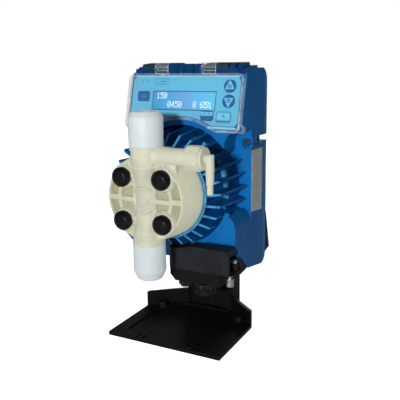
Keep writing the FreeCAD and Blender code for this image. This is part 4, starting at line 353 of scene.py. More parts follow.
FIN_FRONT_R = 35.0               # the ring round the head and the fins' fronts lie outside this radius
COVER_WALL_X = -50.0             # the clear cover is wall to the left of this
ROOF_FOOT_Z = 222.0              # the roof's ribs and shoulders start here
SCOOP_X, SCOOP_Z, SCOOP_R = 50.5, 166.0, 9.5
BOX_LIP_Z = 64.0                 # painted shade: the terminal box is darker below this
FRONT_LEAN = -0.6                # a face whose normal's Y is below this looks forward
FLAT_FRONT = -0.9                # and below this it is the housing's plain front
SIDE_LEAN = 0.95                 # a face whose normal's X is beyond this is a side wall
WALL_LEAN = 0.3                  # a face whose normal leans less than this out of the panel is a wall


def barrel_painted_highlight_mask(centres, normals):
    """Painted highlight: the ring round the head and the fins' slanted fronts, which face forward, take the
    lighter edge tone.
    """
    radius = np.hypot(centres[:, 0], centres[:, 2] - AXIS_Z)
    return (normals[:, 1] < FRONT_LEAN) & (radius > FIN_FRONT_R)


def cover_painted_reflection_mask(centres, normals):
    """The clear cover's left wall gets a whiter, more opaque finish than its face: painted reflection."""
    out = -math.cos(PANEL_TILT) * normals[:, 1] + math.sin(PANEL_TILT) * normals[:, 2]
    return np.where((np.abs(out) < WALL_LEAN) & (centres[:, 0] < COVER_WALL_X), 2, 0)


def roof_painted_shade_mask(centres, normals):
    """Painted shade: the housing's roof, its ribs and the two scoops round the pocket screws get a deeper
    blue.
    """
    side = np.abs(normals[:, 0]) >= SIDE_LEAN
    scoop = np.hypot(np.abs(centres[:, 0]) - SCOOP_X, centres[:, 2] - SCOOP_Z) < SCOOP_R
    roof = centres[:, 2] > ROOF_FOOT_Z
    return np.where((roof | (scoop & (normals[:, 1] > FLAT_FRONT))) & ~side, 2, 0)


def box_painted_shade_mask(centres, normals):
    """Painted shade: the terminal box is darker below its upper part."""
    return np.where(centres[:, 2] < BOX_LIP_Z, 2, 0)


EDGE_ROUNDS = {
    "mounting_bracket": 0.45, "front_housing": 0.5, "rear_cover": 0.4, "finned_barrel": 0.35,
    "terminal_box": 0.55, "clear_cover": 0.4, "hinge_clips": 0.35,
    "discharge_valve_body": 0.3, "suction_valve_body": 0.3, "discharge_nut": 0.5, "suction_nut": 0.5,
    "bleed_knob": 0.3, "bleed_elbow": 0.2, "bolt_caps": 0.25, "blanking_plug": 0.25, "gland_body": 0.25,
    "gland_nut": 0.25, "signal_socket": 0.25, "keypad_panel": 0.15,
}
# the glands under the terminal box are darker than its moulding, partly painted shade below the box, with
# edges of painted highlight
BLACK_FITTING = dict(base=DEEP_BLACK_AND_PAINTED_SHADE, edge_tone=BRACKET_EDGE_HIGHLIGHT)
SPECIAL = {
    # the terminal box's lower part and its edges get painted shade
    "terminal_box": dict(tint=box_painted_shade_mask, extra=DEEP_BLACK_AND_PAINTED_SHADE, edge_tone=DEEP_BLACK_AND_PAINTED_SHADE),
    "finned_barrel": dict(tint=barrel_painted_highlight_mask, base=BARREL_PAINTED_SHADE_BLUE),
    "clear_cover": dict(tint=cover_painted_reflection_mask, extra=CLEAR_WALL_PAINTED_REFLECTION),
    "front_housing": dict(tint=roof_painted_shade_mask, extra=ROOF_PAINTED_SHADE_BLUE),
    "rear_cover": dict(base=REAR_PAINTED_HIGHLIGHT_BLUE),
    "mounting_bracket": dict(base=BRACKET_BLACK, edge_tone=BRACKET_EDGE_HIGHLIGHT),
    "bolt_caps": dict(base=CAP_BLACK, edge_tone=CAP_BLACK),
    "gland_body": BLACK_FITTING, "gland_nut": BLACK_FITTING, "blanking_plug": BLACK_FITTING,
    "discharge_nut": dict(limit=15.0), "suction_nut": dict(limit=15.0),
}
for node, width in EDGE_ROUNDS.items():
    dressed(node, width, **SPECIAL.get(node, {}))

for node, thing in frame["nodes"].items():
    thing.data.materials.clear()
    thing.data.materials.append(SCREW_PAINTED_LIGHT.get(node) or FINISHES[SLOTS[node]])


# ------------------------------------------------------------------ surfaces
def loft(rows):
    """Points and faces of closed rows, an array (row, place round the row, xyz): quads between, end caps."""
    count, around = rows.shape[:2]
    index = np.arange(count * around).reshape(count, around)
    after = np.roll(index, -1, axis=1)
    faces = np.stack([index[:-1], after[:-1], after[1:], index[1:]], -1).reshape(-1, 4).tolist()
    faces.append(index[0][::-1].tolist())
    faces.append(index[-1].tolist())
    return rows.reshape(-1, 3), faces


def ring_loft(rows):
    """As loft, with the last row joined to the first, as on a ring."""
    count, around = rows.shape[:2]
    index = np.arange(count * around).reshape(count, around)
    after, below = np.roll(index, -1, axis=1), np.roll(index, -1, axis=0)
    faces = np.stack([index, after, np.roll(below, -1, axis=1), below], -1).reshape(-1, 4).tolist()
    return rows.reshape(-1, 3), faces


def joined(parts):
    """Several (points, faces) as one."""
    points, faces, base = [], [], 0
    for own_points, own_faces in parts:
        points.append(own_points)
        faces += [[corner + base for corner in face] for face in own_faces]
        base += len(own_points)
    return np.vstack(points), faces


def outward(piece):
    """Turns the faces of closed shells outwards."""
    whole = bmesh.new()
    whole.from_mesh(piece.data)
    bmesh.ops.recalc_face_normals(whole, faces=whole.faces)
    whole.to_mesh(piece.data)
    whole.free()


def rounded(width, height, radius, steps=8):
    """Rounded rectangle about zero: four quarter arcs, centre plus radius times (cos t, sin t)."""
    turn = np.linspace(0, math.pi / 2, steps)[None, :] + np.arange(4)[:, None] * math.pi / 2
    centre = np.array([[1, 1], [-1, 1], [-1, -1], [1, -1]]) * [width / 2 - radius, height / 2 - radius]
    arc = np.stack([np.cos(turn), np.sin(turn)], -1) * radius
    return (centre[:, None, :] + arc).reshape(-1, 2)


def circle(radius, steps=40):
    """Circle about zero: radius times (cos t, sin t)."""
    turn = np.linspace(0, 2 * math.pi, steps, endpoint=False)
    return np.stack([np.cos(turn), np.sin(turn)], -1) * radius


def softened(corners, radius, steps=6):
    """A convex polygon with each corner replaced by the quadratic curve (1-t)^2 a + 2t(1-t) c + t^2 b."""
    corners = np.asarray(corners, float)
    before, after = np.roll(corners, 1, axis=0) - corners, np.roll(corners, -1, axis=0) - corners
    first = corners + before / np.linalg.norm(before, axis=1)[:, None] * radius
    last = corners + after / np.linalg.norm(after, axis=1)[:, None] * radius
    t = np.linspace(0, 1, steps)[None, :, None]
    curve = (1 - t) ** 2 * first[:, None] + 2 * t * (1 - t) * corners[:, None] + t ** 2 * last[:, None]
    return curve.reshape(-1, 2)


# ------------------------------------------------------------------ pump head
HEAD_LOW, HEAD_HIGH = (np.array(corner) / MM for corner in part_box("pump_head"))
HEAD_BACK_Y = HEAD_HIGH[1]
HEAD_FRONT_Y = -56.0
HEAD_BACK_R, HEAD_FRONT_R, HEAD_EDGE = 35.5, 33.5, 1.6
HEAD_AROUND, HEAD_RINGS = 400, 92  # points round the head and rings across its face
VALVE_Y, NECK_R = -51.0, 12.0
COLUMN_HALF, COLUMN_DEPTH_R, COLUMN_BLEND = 9.4, 8.2, 14.0
BLEED_Z = AXIS_Z + 33.6
TOWER_X, TOWER_Z, TOWER_R, TOWER_RISE = 17.4, 17.0, 8.8, 2.4
CRESCENT_IN_R, CRESCENT_OUT_R, CRESCENT_DEPTH = 24.6, 31.2, 3.8
CRESCENT_TOP = 60.0              # the crescents end at this many degrees above the level
RIB_HALF = 2.3                   # half the level rib between the crescents
POCKET_X, POCKET_R, POCKET_DEPTH = 10.2, 21.2, 2.8
POCKET_BANDS = ((1, 1.2, 10.5), (-1, 2.8, 11.5))  # up or down, nearest and farthest height
SLOT_BANDS = ((20.0, 23.6), (13.6, 16.6), (-13.4, -10.8), (-20.6, -16.8))
SLOT_NEAR_X, SLOT_FAR_X, SLOT_DEPTH = 8.6, 12.0, 2.6
HUB_RINGS = ((10.6, 1.2, 0.9), (8.0, 0.9, -0.7), (4.6, 0.9, 0.5))  # radius, softness, rise
SEAT_R, SEAT_DEPTH = 20.9, 2.25   # step behind the head that takes the diaphragm's rim
CHAMBER_R, CHAMBER_FLOOR_R, CHAMBER_DEPTH = 16.8, 13.8, 4.3
SIDE_FROM_Y, FACE_TO_Y = -54.8, -51.5  # the side's painted light starts here; the face's relief and its painted shade end there
RING_R, RING_WIDE, RING_HIGH = 37.0, 1.15, 0.75  # bead round the head's foot and its half sizes
FIN_COUNT, FIN_HALF = 28, 0.85
SPUR_FINS = (10, 11, 12)
LIP_R, LIP_Y, LIP_FROM, LIP_TO = 49.6, -6.3, -74.0, -20.0  # the last two in degrees
SOCKET_Y, SOCKET_Z, SOCKET_R = 38.7, 167.4, 2.5
SOCKET_IN_X, SOCKET_OUT_X = 52.9, 53.44
SOCKET_RIM_R, SOCKET_RIM_HALF = 2.8, 0.3


def step(value, soft):
    """0 below zero, 1 above, joined over a width soft by 3t^2 - 2t^3."""
    t = np.clip(value / soft + 0.5, 0.0, 1.0)
    return t * t * (3.0 - 2.0 * t)


def nearer(a, b, soft):
    """The lesser of two, with their corner rounded: -soft ln(exp(-a/soft) + exp(-b/soft))."""
    return -soft * np.logaddexp(-a / soft, -b / soft)


def column_reach(z, slim, start):
    """Half size of the valve column: slim at the hub, growing by 3t^2 - 2t^3 to the necks' past start."""
    t = np.clip((np.abs(z) - start) / COLUMN_BLEND, 0.0, 1.0)
    return slim + (NECK_R - slim) * t * t * (3.0 - 2.0 * t)


def head_front(x, z):
    """Where the head's front lies, in y, at x and z from the pumping axis.

    The face is sunk by two pairs of crescents with a level rib between them, by four pockets next to the
    column and by the ladder of slots; four towers and the elliptic valve column stand out of it. Each is a
    product of steps over the distance from its border.
    """
    radius = np.hypot(x, z)
    across = np.abs(x)
    level = np.degrees(np.arctan2(np.abs(z), across))
    towers = np.min([np.hypot(x - sx * TOWER_X, z - sz * TOWER_Z)
                     for sx in (-1, 1) for sz in (-1, 1)], axis=0)
    clear = step(towers - TOWER_R - 0.6, 1.2)
    crescent = step(radius - CRESCENT_IN_R, 1.4) * step(CRESCENT_OUT_R - radius, 0.9) \
        * step(np.abs(z) - RIB_HALF, 1.0) * step((CRESCENT_TOP - level) * 0.5, 1.4)
    pocket = step(across - POCKET_X, 1.2) * step(POCKET_R - radius, 1.0) \
        * sum(step(way * z - near, 1.0) * step(far - way * z, 1.6) for way, near, far in POCKET_BANDS)
    slots = sum(step(z - low, 0.6) * step(high - z, 0.6) for low, high in SLOT_BANDS)
    slots = slots * step(across - SLOT_NEAR_X, 0.6) * step(SLOT_FAR_X - across, 0.6)
    sunk = HEAD_FRONT_Y + CRESCENT_DEPTH * crescent * clear + POCKET_DEPTH * pocket * clear
    tower = HEAD_FRONT_Y - TOWER_RISE + 6.0 * step(towers - TOWER_R - 0.9, 3.4)
    bulge = np.sqrt(np.clip(1.0 - (x / column_reach(z, COLUMN_HALF, 15.0)) ** 2, 0.0, 1.0))
    column = VALVE_Y - column_reach(z, COLUMN_DEPTH_R, 13.0) * bulge
    hub = sum(rise * step(reach - radius, soft) for reach, soft, rise in HUB_RINGS)
    return nearer(nearer(sunk, tower, 0.25), column, 0.4) - hub + SLOT_DEPTH * slots


def head_rows():
    """Rings of the head: from its middle over the rounded rim and down the side to the chamber behind."""
    turn = np.linspace(0, 2 * math.pi, HEAD_AROUND, endpoint=False)
    cos, sin = np.cos(turn), np.sin(turn)
    face_r = np.linspace(0.3, HEAD_FRONT_R - HEAD_EDGE, HEAD_RINGS)
    rows = [np.stack([r * cos, head_front(r * cos, r * sin), r * sin], -1) for r in face_r]
    rim_r = face_r[-1]
    rim_y = np.maximum(head_front(rim_r * cos, rim_r * sin), HEAD_FRONT_Y - 3.0)
    for t in np.linspace(0.25, 1.0, 4) * math.pi / 2:
        r = rim_r + HEAD_EDGE * math.sin(t)
        rows.append(np.stack([r * cos, rim_y + HEAD_EDGE * (1 - math.cos(t)), r * sin], -1))
    side = [(HEAD_FRONT_R, -52.5), (HEAD_FRONT_R + 0.6, -48.0), (HEAD_FRONT_R + 1.5, -38.0),
            (HEAD_BACK_R, -31.5), (HEAD_BACK_R, HEAD_BACK_Y - 0.6), (HEAD_BACK_R - 0.6, HEAD_BACK_Y),
            (SEAT_R, HEAD_BACK_Y), (SEAT_R, HEAD_BACK_Y - SEAT_DEPTH), (CHAMBER_R, HEAD_BACK_Y - SEAT_DEPTH),
            (CHAMBER_FLOOR_R, HEAD_BACK_Y - CHAMBER_DEPTH), (0.4, HEAD_BACK_Y - CHAMBER_DEPTH)]
    rows += [np.stack([r * cos, np.full_like(cos, y), r * sin], -1) for r, y in side]
    return (np.stack(rows) + [0.0, 0.0, AXIS_Z]) * MM


def lathe(profile, centre, axis, steps=72):
    """Closed surface of revolution of (radius, place along the axis) about the x or z axis through centre."""
    turn = np.linspace(0, 2 * math.pi, steps, endpoint=False)
    rows = []
    for radius, along in profile:
        if axis == "z":
            row = np.stack([radius * np.cos(turn), radius * np.sin(turn), np.full_like(turn, along)], -1)
        else:
            row = np.stack([np.full_like(turn, along), radius * np.cos(turn), radius * np.sin(turn)], -1)
        rows.append(row + centre)
    return loft(np.stack(rows) * MM)


def pump_head():
    """The moulded head: face with its relief, two valve necks, the bleed branch and the web under it.

    The branch's radius falls from its root as exp(-x/5); the web is a rounded rectangle that narrows upwards.
    """
    parts = [loft(head_rows())]
    for side, end in ((1, HEAD_HIGH[2]), (-1, HEAD_LOW[2])):
        reach = abs(end - AXIS_Z)
        profile = [(6.0, 24.0), (NECK_R - 0.2, 24.5), (NECK_R - 0.05, 29.0), (NECK_R, reach - 3.5),
                   (NECK_R + 0.25, reach - 1.6), (NECK_R + 0.55, reach - 0.3), (NECK_R + 0.3, reach),
                   (3.0, reach)]
        parts.append(lathe([(r, side * z) for r, z in profile], [0.0, VALVE_Y, AXIS_Z], "z"))
    branch = [(6.3 + 2.3 * math.exp(-max(0.0, x - 9.5) / 5.0), x) for x in np.linspace(6.0, 35.4, 18)]
    branch += [(5.9, 35.9), (4.6, 36.0), (4.5, 42.8), (4.2, HEAD_HIGH[0]), (1.7, HEAD_HIGH[0])]
    parts.append(lathe(branch, [0.0, VALVE_Y, BLEED_Z], "x"))
    across = rounded(18.0, 4.2, 1.8)
    web = [np.stack([across[:, 0] * wide + 17.0, across[:, 1] + VALVE_Y, np.full(len(across), z)], -1)
           for wide, z in ((1.05, AXIS_Z + 18.0), (1.0, AXIS_Z + 27.0), (0.95, BLEED_Z - 4.5))]
    parts.append(loft(np.stack(web) * MM))
    points, faces = joined(parts)
    piece = made("pump_head_moulding", points, faces, [FINISHES["cream"], HEAD_SIDE_PAINTED_LIGHT, HEAD_FACE_PAINTED_SHADE],
                 frame["nodes"]["pump_head"]["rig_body"], ["pump_head"], smooth_angle=50)
    outward(piece)
    centres = np.array([face.center for face in piece.data.polygons]) / MM
    from_axis = np.hypot(centres[:, 0], centres[:, 2] - AXIS_Z)
    on_bowl = np.arange(len(centres)) < len(parts[0][1])
    # the head's side wall gets painted light, its face painted shade in the hollows
    side_wall = (from_axis > HEAD_FRONT_R - 0.6) & (centres[:, 1] > SIDE_FROM_Y)
    kind = np.where(on_bowl & side_wall, 1, np.where(on_bowl & (centres[:, 1] < FACE_TO_Y), 2, 0))
    piece.data.polygons.foreach_set("material_index", kind.astype(np.int32))


def blue_piece(name, parts, material):
    """Parts joined as one piece on the housing, its faces outward."""
    points, faces = joined(parts)
    outward(made(name, points, faces, [material], "housing"))


def head_ring():
    """Bead round the foot of the head, its light blue a painted highlight: a small ellipse turned about the
    pumping axis.
    """
    turn = np.linspace(0, 2 * math.pi, 160, endpoint=False)
    ring = []
    for a, b in circle(1.0, 12):
        reach = RING_R + RING_WIDE * a
        ring.append(np.stack([reach * np.cos(turn), np.full_like(turn, HEAD_BACK_Y - 0.35 + RING_HIGH * b),
                              reach * np.sin(turn) + AXIS_Z], -1))
    blue_piece("head_ring", [ring_loft(np.stack(ring) * MM)], RING_PAINTED_HIGHLIGHT)


def fin_spurs():
    """Forward corners of the three fins at the upper left: the fins' flat outline, as thick as a fin."""
    outline = np.array([(40.0, -22.4), (49.0, -24.4), (51.0, -22.4), (50.3, -5.0), (46.4, -12.0)])
    parts = []
    for fin in SPUR_FINS:
        turn = 2 * math.pi * fin / FIN_COUNT
        rows = []
        for half, share in ((-FIN_HALF, 0.985), (-0.6, 1.0), (0.6, 1.0), (FIN_HALF, 0.985)):
            reach = outline[:, 0] * share
            rows.append(np.stack([reach * math.cos(turn) - half * math.sin(turn), outline[:, 1],
                                  AXIS_Z + reach * math.sin(turn) + half * math.cos(turn)], -1))
        parts.append(loft(np.stack(rows) * MM))
    blue_piece("fin_spurs", parts, FINISHES["blue_paint"])


def cradle_lips():
    """Thin rounded lips on both sides where the foot takes the barrel: a band swept along an arc."""
    band = rounded(4.2, 3.2, 0.8, 5)
    radius = LIP_R + band[:, 0]
    parts = []
    for side in (1, -1):
        rows = [np.stack([side * radius * math.cos(angle), LIP_Y + band[:, 1],
                          AXIS_Z + radius * math.sin(angle)], -1)
                for angle in np.radians(np.linspace(LIP_FROM, LIP_TO, 40))]
        parts.append(loft(np.stack(rows) * MM))
    blue_piece("cradle_lips", parts, FINISHES["blue_paint"])


def side_holes_painted_shade():
    """Dark discs near the rear of both sides, painted shade of small holes, each with a light rim of painted
    highlight: discs and a turned bead.
    """
    turn = np.linspace(0, 2 * math.pi, 48, endpoint=False)
    disc = [(0.4, SOCKET_IN_X), (SOCKET_R, SOCKET_IN_X), (SOCKET_R, SOCKET_OUT_X), (0.4, SOCKET_OUT_X)]
    middle_x = (SOCKET_IN_X + SOCKET_OUT_X) / 2
    discs, rims = [], []
    for side in (1, -1):
        discs.append(lathe([(r, side * x) for r, x in disc], [0.0, SOCKET_Y, SOCKET_Z], "x", 40))
        rim = [np.stack([np.full_like(turn, side * (middle_x + b)),
                         SOCKET_Y + (SOCKET_RIM_R + a) * np.cos(turn),
                         SOCKET_Z + (SOCKET_RIM_R + a) * np.sin(turn)], -1)
               for a, b in circle(SOCKET_RIM_HALF, 8)]
        rims.append(ring_loft(np.stack(rim) * MM))
    blue_piece("side_holes_painted_shade", discs, DEEP_BLACK_AND_PAINTED_SHADE)
    blue_piece("side_hole_rims_painted_highlight", rims, RING_PAINTED_HIGHLIGHT)


pump_head()
head_ring()
fin_spurs()
cradle_lips()
side_holes_painted_shade()


# ------------------------------------------------------------------ printing on the keypad sheet
SHEET_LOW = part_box("keypad_panel")[0]
PRINT_EDGE = 0.015               # height of a printed mark's bevelled rim


def on_sheet(x, down, out):
    """Millimetres across, down the slope and out of the sheet's face, to metres in the frame."""
    rise = (SHEET_BOTTOM - np.asarray(down, float)) * MM
    out = np.asarray(out, float) * MM
    y = SHEET_LOW.y + math.sin(PANEL_TILT) * rise - math.cos(PANEL_TILT) * out
    z = SHEET_LOW.z + (math.sin(PANEL_TILT) * SHEET_THICK * MM) + math.cos(PANEL_TILT) * rise \
        + math.sin(PANEL_TILT) * out
    return np.stack(np.broadcast_arrays(np.asarray(x, float) * MM, y, z), -1)


def printed_plate(outline, x, down, low, high):
    """A thin closed plate on the sheet: the outline at its foot, its rim and just inside its rim."""
    levels = [(1.0, low), (1.0, high - PRINT_EDGE), (0.985, high)]
    rows = np.stack([on_sheet(x + outline[:, 0] * share, down + outline[:, 1] * share, level)
                     for share, level in levels])
    return loft(rows)


def printed_ring(outer, inner, x, down, low, high):
    """A thin closed band between two outlines of equal count."""
    rows = [(outer, low), (outer, high), (inner, high), (inner, low)]
    return ring_loft(np.stack([on_sheet(x + line[:, 0], down + line[:, 1], level) for line, level in rows]))


def print_piece(name, parts, material, body):
    """Printed parts as one piece with its faces outward."""
    points, faces = joined(parts)
    outward(made(name, points, faces, [material], body, smooth_angle=30))


FILM = dict(rough=0.4, specular=0.2, mottle_size=3)
INK_DARK = finish("ink_dark_blue", (10, 74, 134), mottle=0.08, **FILM)
INK_TEAL = finish("ink_teal", (34, 108, 156), mottle=0.08, **FILM)
INK_MID = finish("ink_mid", (62, 134, 206), mottle=0.05, **FILM)
INK_PALE = finish("ink_pale", (98, 174, 208), mottle=0.03, **FILM)
# light strips on the panel at the cover's top and by the keypad's foot: painted reflection
PANEL_PAINTED_REFLECTION = finish("panel_painted_reflection", (132, 190, 214), rough=0.3, specular=0.3, mottle=0.06, mottle_size=12)
DOT_WHITE = finish("display_dots", (226, 236, 248), rough=0.5, mottle=0.02, mottle_size=3, emission=0.2)

KEY_TOP = 0.5                    # top of a key above the sheet
KEYS = ("up_key", "down_key", "mode_key", "start_key", "escape_key")
KEY_ROUND = 0.12
TRIANGLE_TIP, TRIANGLE_FOOT, TRIANGLE_HALF = 5.2, 2.5, 4.1
START_MARK_UP = 1.75             # the start key's pale half and its marks lie this far above its middle
CROSS_TURN = 0.7                 # slope of the escape key's cross, radians
MARKS_DOWN = 5.3                 # the marks above the display lie this far down the sheet
OVAL_X, TRIANGLE_XS = -21.8, (-41.0, -36.0)
DASHES = ((-26.0, 1.2), (-20.6, 6.4))  # centre across and length
STRIP_SINK, STRIP_TOP = 0.1, 0.2  # how far the panel's strips of painted reflection reach into it and stand out of it


def key_place(name):
    """(across, down) of a key's centre on the sheet, from the box of its solid."""
    low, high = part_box(name)
    centre = (low + high) / 2
    face = np.array([centre.y, centre.z])
    start = on_sheet(0, SHEET_BOTTOM, 0)[1:]
    down_way = np.array([-math.sin(PANEL_TILT), -math.cos(PANEL_TILT)])
    return centre.x / MM, SHEET_BOTTOM + float((face - start) @ down_way) / MM


def key_size(name):
    """(width, height) of a key along the sheet, from the box of its solid."""
    low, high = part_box(name)
    return (high.x - low.x) / MM, (high.z - low.z) / MM / math.cos(PANEL_TILT)


def arrow_key(name, upward):
    """Round key: pale triangle with softened corners near the rim, and a small dark ring in it."""
    x, down = key_place(name)
    sign = -1.0 if upward else 1.0
    corners = np.array([(0.0, sign * TRIANGLE_TIP), (TRIANGLE_HALF, -sign * TRIANGLE_FOOT),
                        (-TRIANGLE_HALF, -sign * TRIANGLE_FOOT)])
    print_piece(name + "_triangle", [printed_plate(softened(corners, 0.7), x, down, KEY_TOP, KEY_TOP + INK)],
                INK_PALE, name)
    centre = down - sign * 0.4
    print_piece(name + "_ring", [
        printed_ring(circle(1.6), circle(0.85), x, centre, KEY_TOP + INK, KEY_TOP + 2 * INK),
    ], INK_DARK, name)


def start_key():
    """Oblong key: pale upper half with a triangle and a square in it, dark lower half with a thin bar."""
    x, down = key_place("start_key")
    low, high = KEY_TOP, KEY_TOP + INK
    upper = down - START_MARK_UP
    print_piece("start_key_upper", [
        printed_plate(rounded(10.6, 3.2, 0.9), x, upper, low, high),
    ], INK_PALE, "start_key")
    arrow = softened([(-0.7, -0.8), (0.9, 0.0), (-0.7, 0.8)], 0.15)
    marks = [printed_plate(rounded(1.1, 1.1, 0.2), x + 2.2, upper, high, high + INK),
             printed_plate(arrow, x - 2.2, upper, high, high + INK)]
    print_piece("start_key_marks", marks, INK_DARK, "start_key")
    print_piece("start_key_bar", [
        printed_plate(rounded(4.6, 0.55, 0.2), x, down + 1.9, low, high),
    ], INK_TEAL, "start_key")


def escape_key():
    """Oblong pale key with a thin outline, a dark band at its foot and a small cross."""
    x, down = key_place("escape_key")
    low, high = KEY_TOP, KEY_TOP + INK
    print_piece("escape_key_face", [
        printed_plate(rounded(11.4, 5.2, 1.3), x, down - 0.7, low, high),
    ], INK_PALE, "escape_key")
    width, height = key_size("escape_key")
    print_piece("escape_key_outline", [
        printed_ring(rounded(width - 0.5, height - 0.5, 1.6), rounded(width - 1.2, height - 1.2, 1.3), x,
                     down, low, high),
        printed_plate(rounded(width - 1.6, 0.9, 0.4), x, down + height / 2 - 1.2, low, high),
    ], INK_TEAL, "escape_key")
    bar = rounded(3.0, 0.55, 0.2)
    cos, sin = math.cos(CROSS_TURN), math.sin(CROSS_TURN)
    turn = np.array([[cos, sin], [-sin, cos]])
    marks = [printed_plate(bar @ turn, x, down - 0.8, high, high + INK),
             printed_plate(bar @ turn.T, x, down - 0.8, high + INK / 2, high + INK * 1.4)]
    print_piece("escape_key_cross", marks, INK_TEAL, "escape_key")


def mode_key():
    """Dark key with a row of three short pale bars."""
    x, down = key_place("mode_key")
    bars = [printed_plate(rounded(0.9, 1.3, 0.3), x + place * 1.6, down + 0.2, KEY_TOP, KEY_TOP + INK)
            for place in (-1, 0, 1)]
    print_piece("mode_key_bars", bars, INK_MID, "mode_key")


def sheet_print():
    """Oval outline and small marks at the upper left, the display's dark frame and the panel's two strips of
    painted reflection.
    """
    oval = printed_ring(rounded(15.0, 4.9, 2.2), rounded(14.2, 4.1, 1.8), OVAL_X, MARKS_DOWN, 0.0, INK)
    triangle = softened([(-0.9, -0.8), (0.9, -0.8), (0.0, 0.9)], 0.15)
    small = [printed_plate(triangle, x, MARKS_DOWN + 0.1, 0.0, INK) for x in TRIANGLE_XS]
    dash = [printed_plate(rounded(length, 0.8, 0.3), x, MARKS_DOWN, 0.0, INK) for x, length in DASHES]
    print_piece("sheet_marks", [oval] + small + dash, INK_TEAL, "housing")
    x, down, width, height = DISPLAY
    outer, inner = rounded(width + 1.5, height + 1.5, 0.4), rounded(width + 0.3, height + 0.3, 0.2)
    frame_line = printed_ring(outer, inner, x, down, 0.0, INK)
    print_piece("display_frame_line", [frame_line], INK_DARK, "housing")
    low, high = -SHEET_THICK - STRIP_SINK, -SHEET_THICK + STRIP_TOP
    strip = printed_plate(rounded(97.0, 1.3, 0.4), 0.0, 0.95, low, high)
    print_piece("panel_top_painted_reflection", [strip], PANEL_PAINTED_REFLECTION, "housing")
    foot = printed_plate(rounded(25.0, 1.7, 0.7), 36.5, SHEET_BOTTOM + 1.3, low, high)
    print_piece("panel_foot_painted_reflection", [foot], PANEL_PAINTED_REFLECTION, "housing")


COLUMN_BITS = {                  # lit dots of a character's five columns, lowest bit at the top
    "0": (62, 81, 73, 69, 62), "1": (0, 66, 127, 64, 0), "4": (24, 20, 18, 127, 16),
    "5": (39, 69, 69, 69, 57), "6": (60, 74, 73, 73, 48), "8": (54, 73, 73, 73, 54),
    "%": (35, 19, 8, 100, 98),
}
DOT_ROWS = 7
DOT_PITCH = np.array([0.6, 0.74])
DOT_HALF = np.array([0.26, 0.33])
DOT_RISE = 0.05
LETTER_PITCH = 3.5
DISPLAY_LINES = (("150", 3.3, 14.8), ("0450", 14.4, 22.0), ("8", 38.2, 22.0), ("65%", 45.0, 22.0))
BOX_SIDES = np.array([(4, 5, 6, 7), (3, 2, 1, 0), (0, 1, 5, 4), (1, 2, 6, 5), (2, 3, 7, 6), (3, 0, 4, 7)])


def digits():
    """Dot-matrix numbers: each lit dot is a small raised plate, two rings of four corners.

    DISPLAY_LINES holds each text, its start across the display's window and its top row down the sheet.
    """
    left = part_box("display_lens")[0].x / MM
    places = []
    for text, start, line in DISPLAY_LINES:
        for order, letter in enumerate(text):
            lit = (np.array(COLUMN_BITS[letter])[:, None] >> np.arange(DOT_ROWS)[None, :]) & 1
            corner = [left + start + order * LETTER_PITCH, line]
            places.append(corner + np.stack(np.nonzero(lit), -1) * DOT_PITCH)
    places = np.vstack(places)
    flat = places[:, None, :] + (np.array([(-1, -1), (1, -1), (1, 1), (-1, 1)]) * DOT_HALF)[None, :, :]
    face = lens_level()
    rows = [on_sheet(flat[..., 0], flat[..., 1], level) for level in (face, face + DOT_RISE)]
    points = np.concatenate(rows, axis=1).reshape(-1, 3)
    base = (np.arange(len(places)) * 8)[:, None, None]
    faces = (base + BOX_SIDES[None]).reshape(-1, 4).tolist()
    outward(made("display_digits", points, faces, [DOT_WHITE], "housing", smooth_angle=10))


def lens_level():
    """How far the display lens's face stands out of the sheet's face, from its solid's points."""
    mesh = frame["nodes"]["display_lens"].data
    points = np.empty(len(mesh.vertices) * 3)
    mesh.vertices.foreach_get("co", points)
    points = points.reshape(-1, 3)
    start = on_sheet(0, SHEET_BOTTOM, 0)
    out_way = np.array([-math.cos(PANEL_TILT), math.sin(PANEL_TILT)])
    return float(((points[:, 1:] - start[1:]) @ out_way).max()) / MM


for node in KEYS:
    dressed(node, KEY_ROUND)
arrow_key("up_key", True)
arrow_key("down_key", False)
start_key()
escape_key()
mode_key()
sheet_print()
digits()


# ------------------------------------------------------------------ floor, light, camera
VIEW_PLACE = (0.2384, -0.42107, 0.23017)  # metres
VIEW_AZIMUTH, VIEW_ELEVATION, VIEW_ROLL = (math.radians(angle) for angle in (27.6, 13.09, -0.72))
VIEW_LENS, VIEW_FILM = 52.93, 36.0
FLOOR_HALF = 3.0                 # metres
FLOOR_DROP = 0.0002              # the floor lies this far below the base plate, metres
FLOOR_LIFT = 0.93                # brightness that the floor has for the eye alone
FILL = 0.13                      # strength of the even light from all round
KEY_WATTS, KEY_R = 41.0, 0.04    # lamp beside the eye, its radius in metres
KEY_ASIDE, KEY_ABOVE = 0.14, 0.012  # how far it stands left of the eye and above it, metres
BACK_WATTS, BACK_R = 11.0, 0.3   # lamp behind the object, its radius in metres
BACK_TURN = 0.2                  # how far the lamp behind stands to the left, radians
LIT_MIDDLE = Vector((0.0, -0.02, 0.16))  # both lamps stand a metre from here


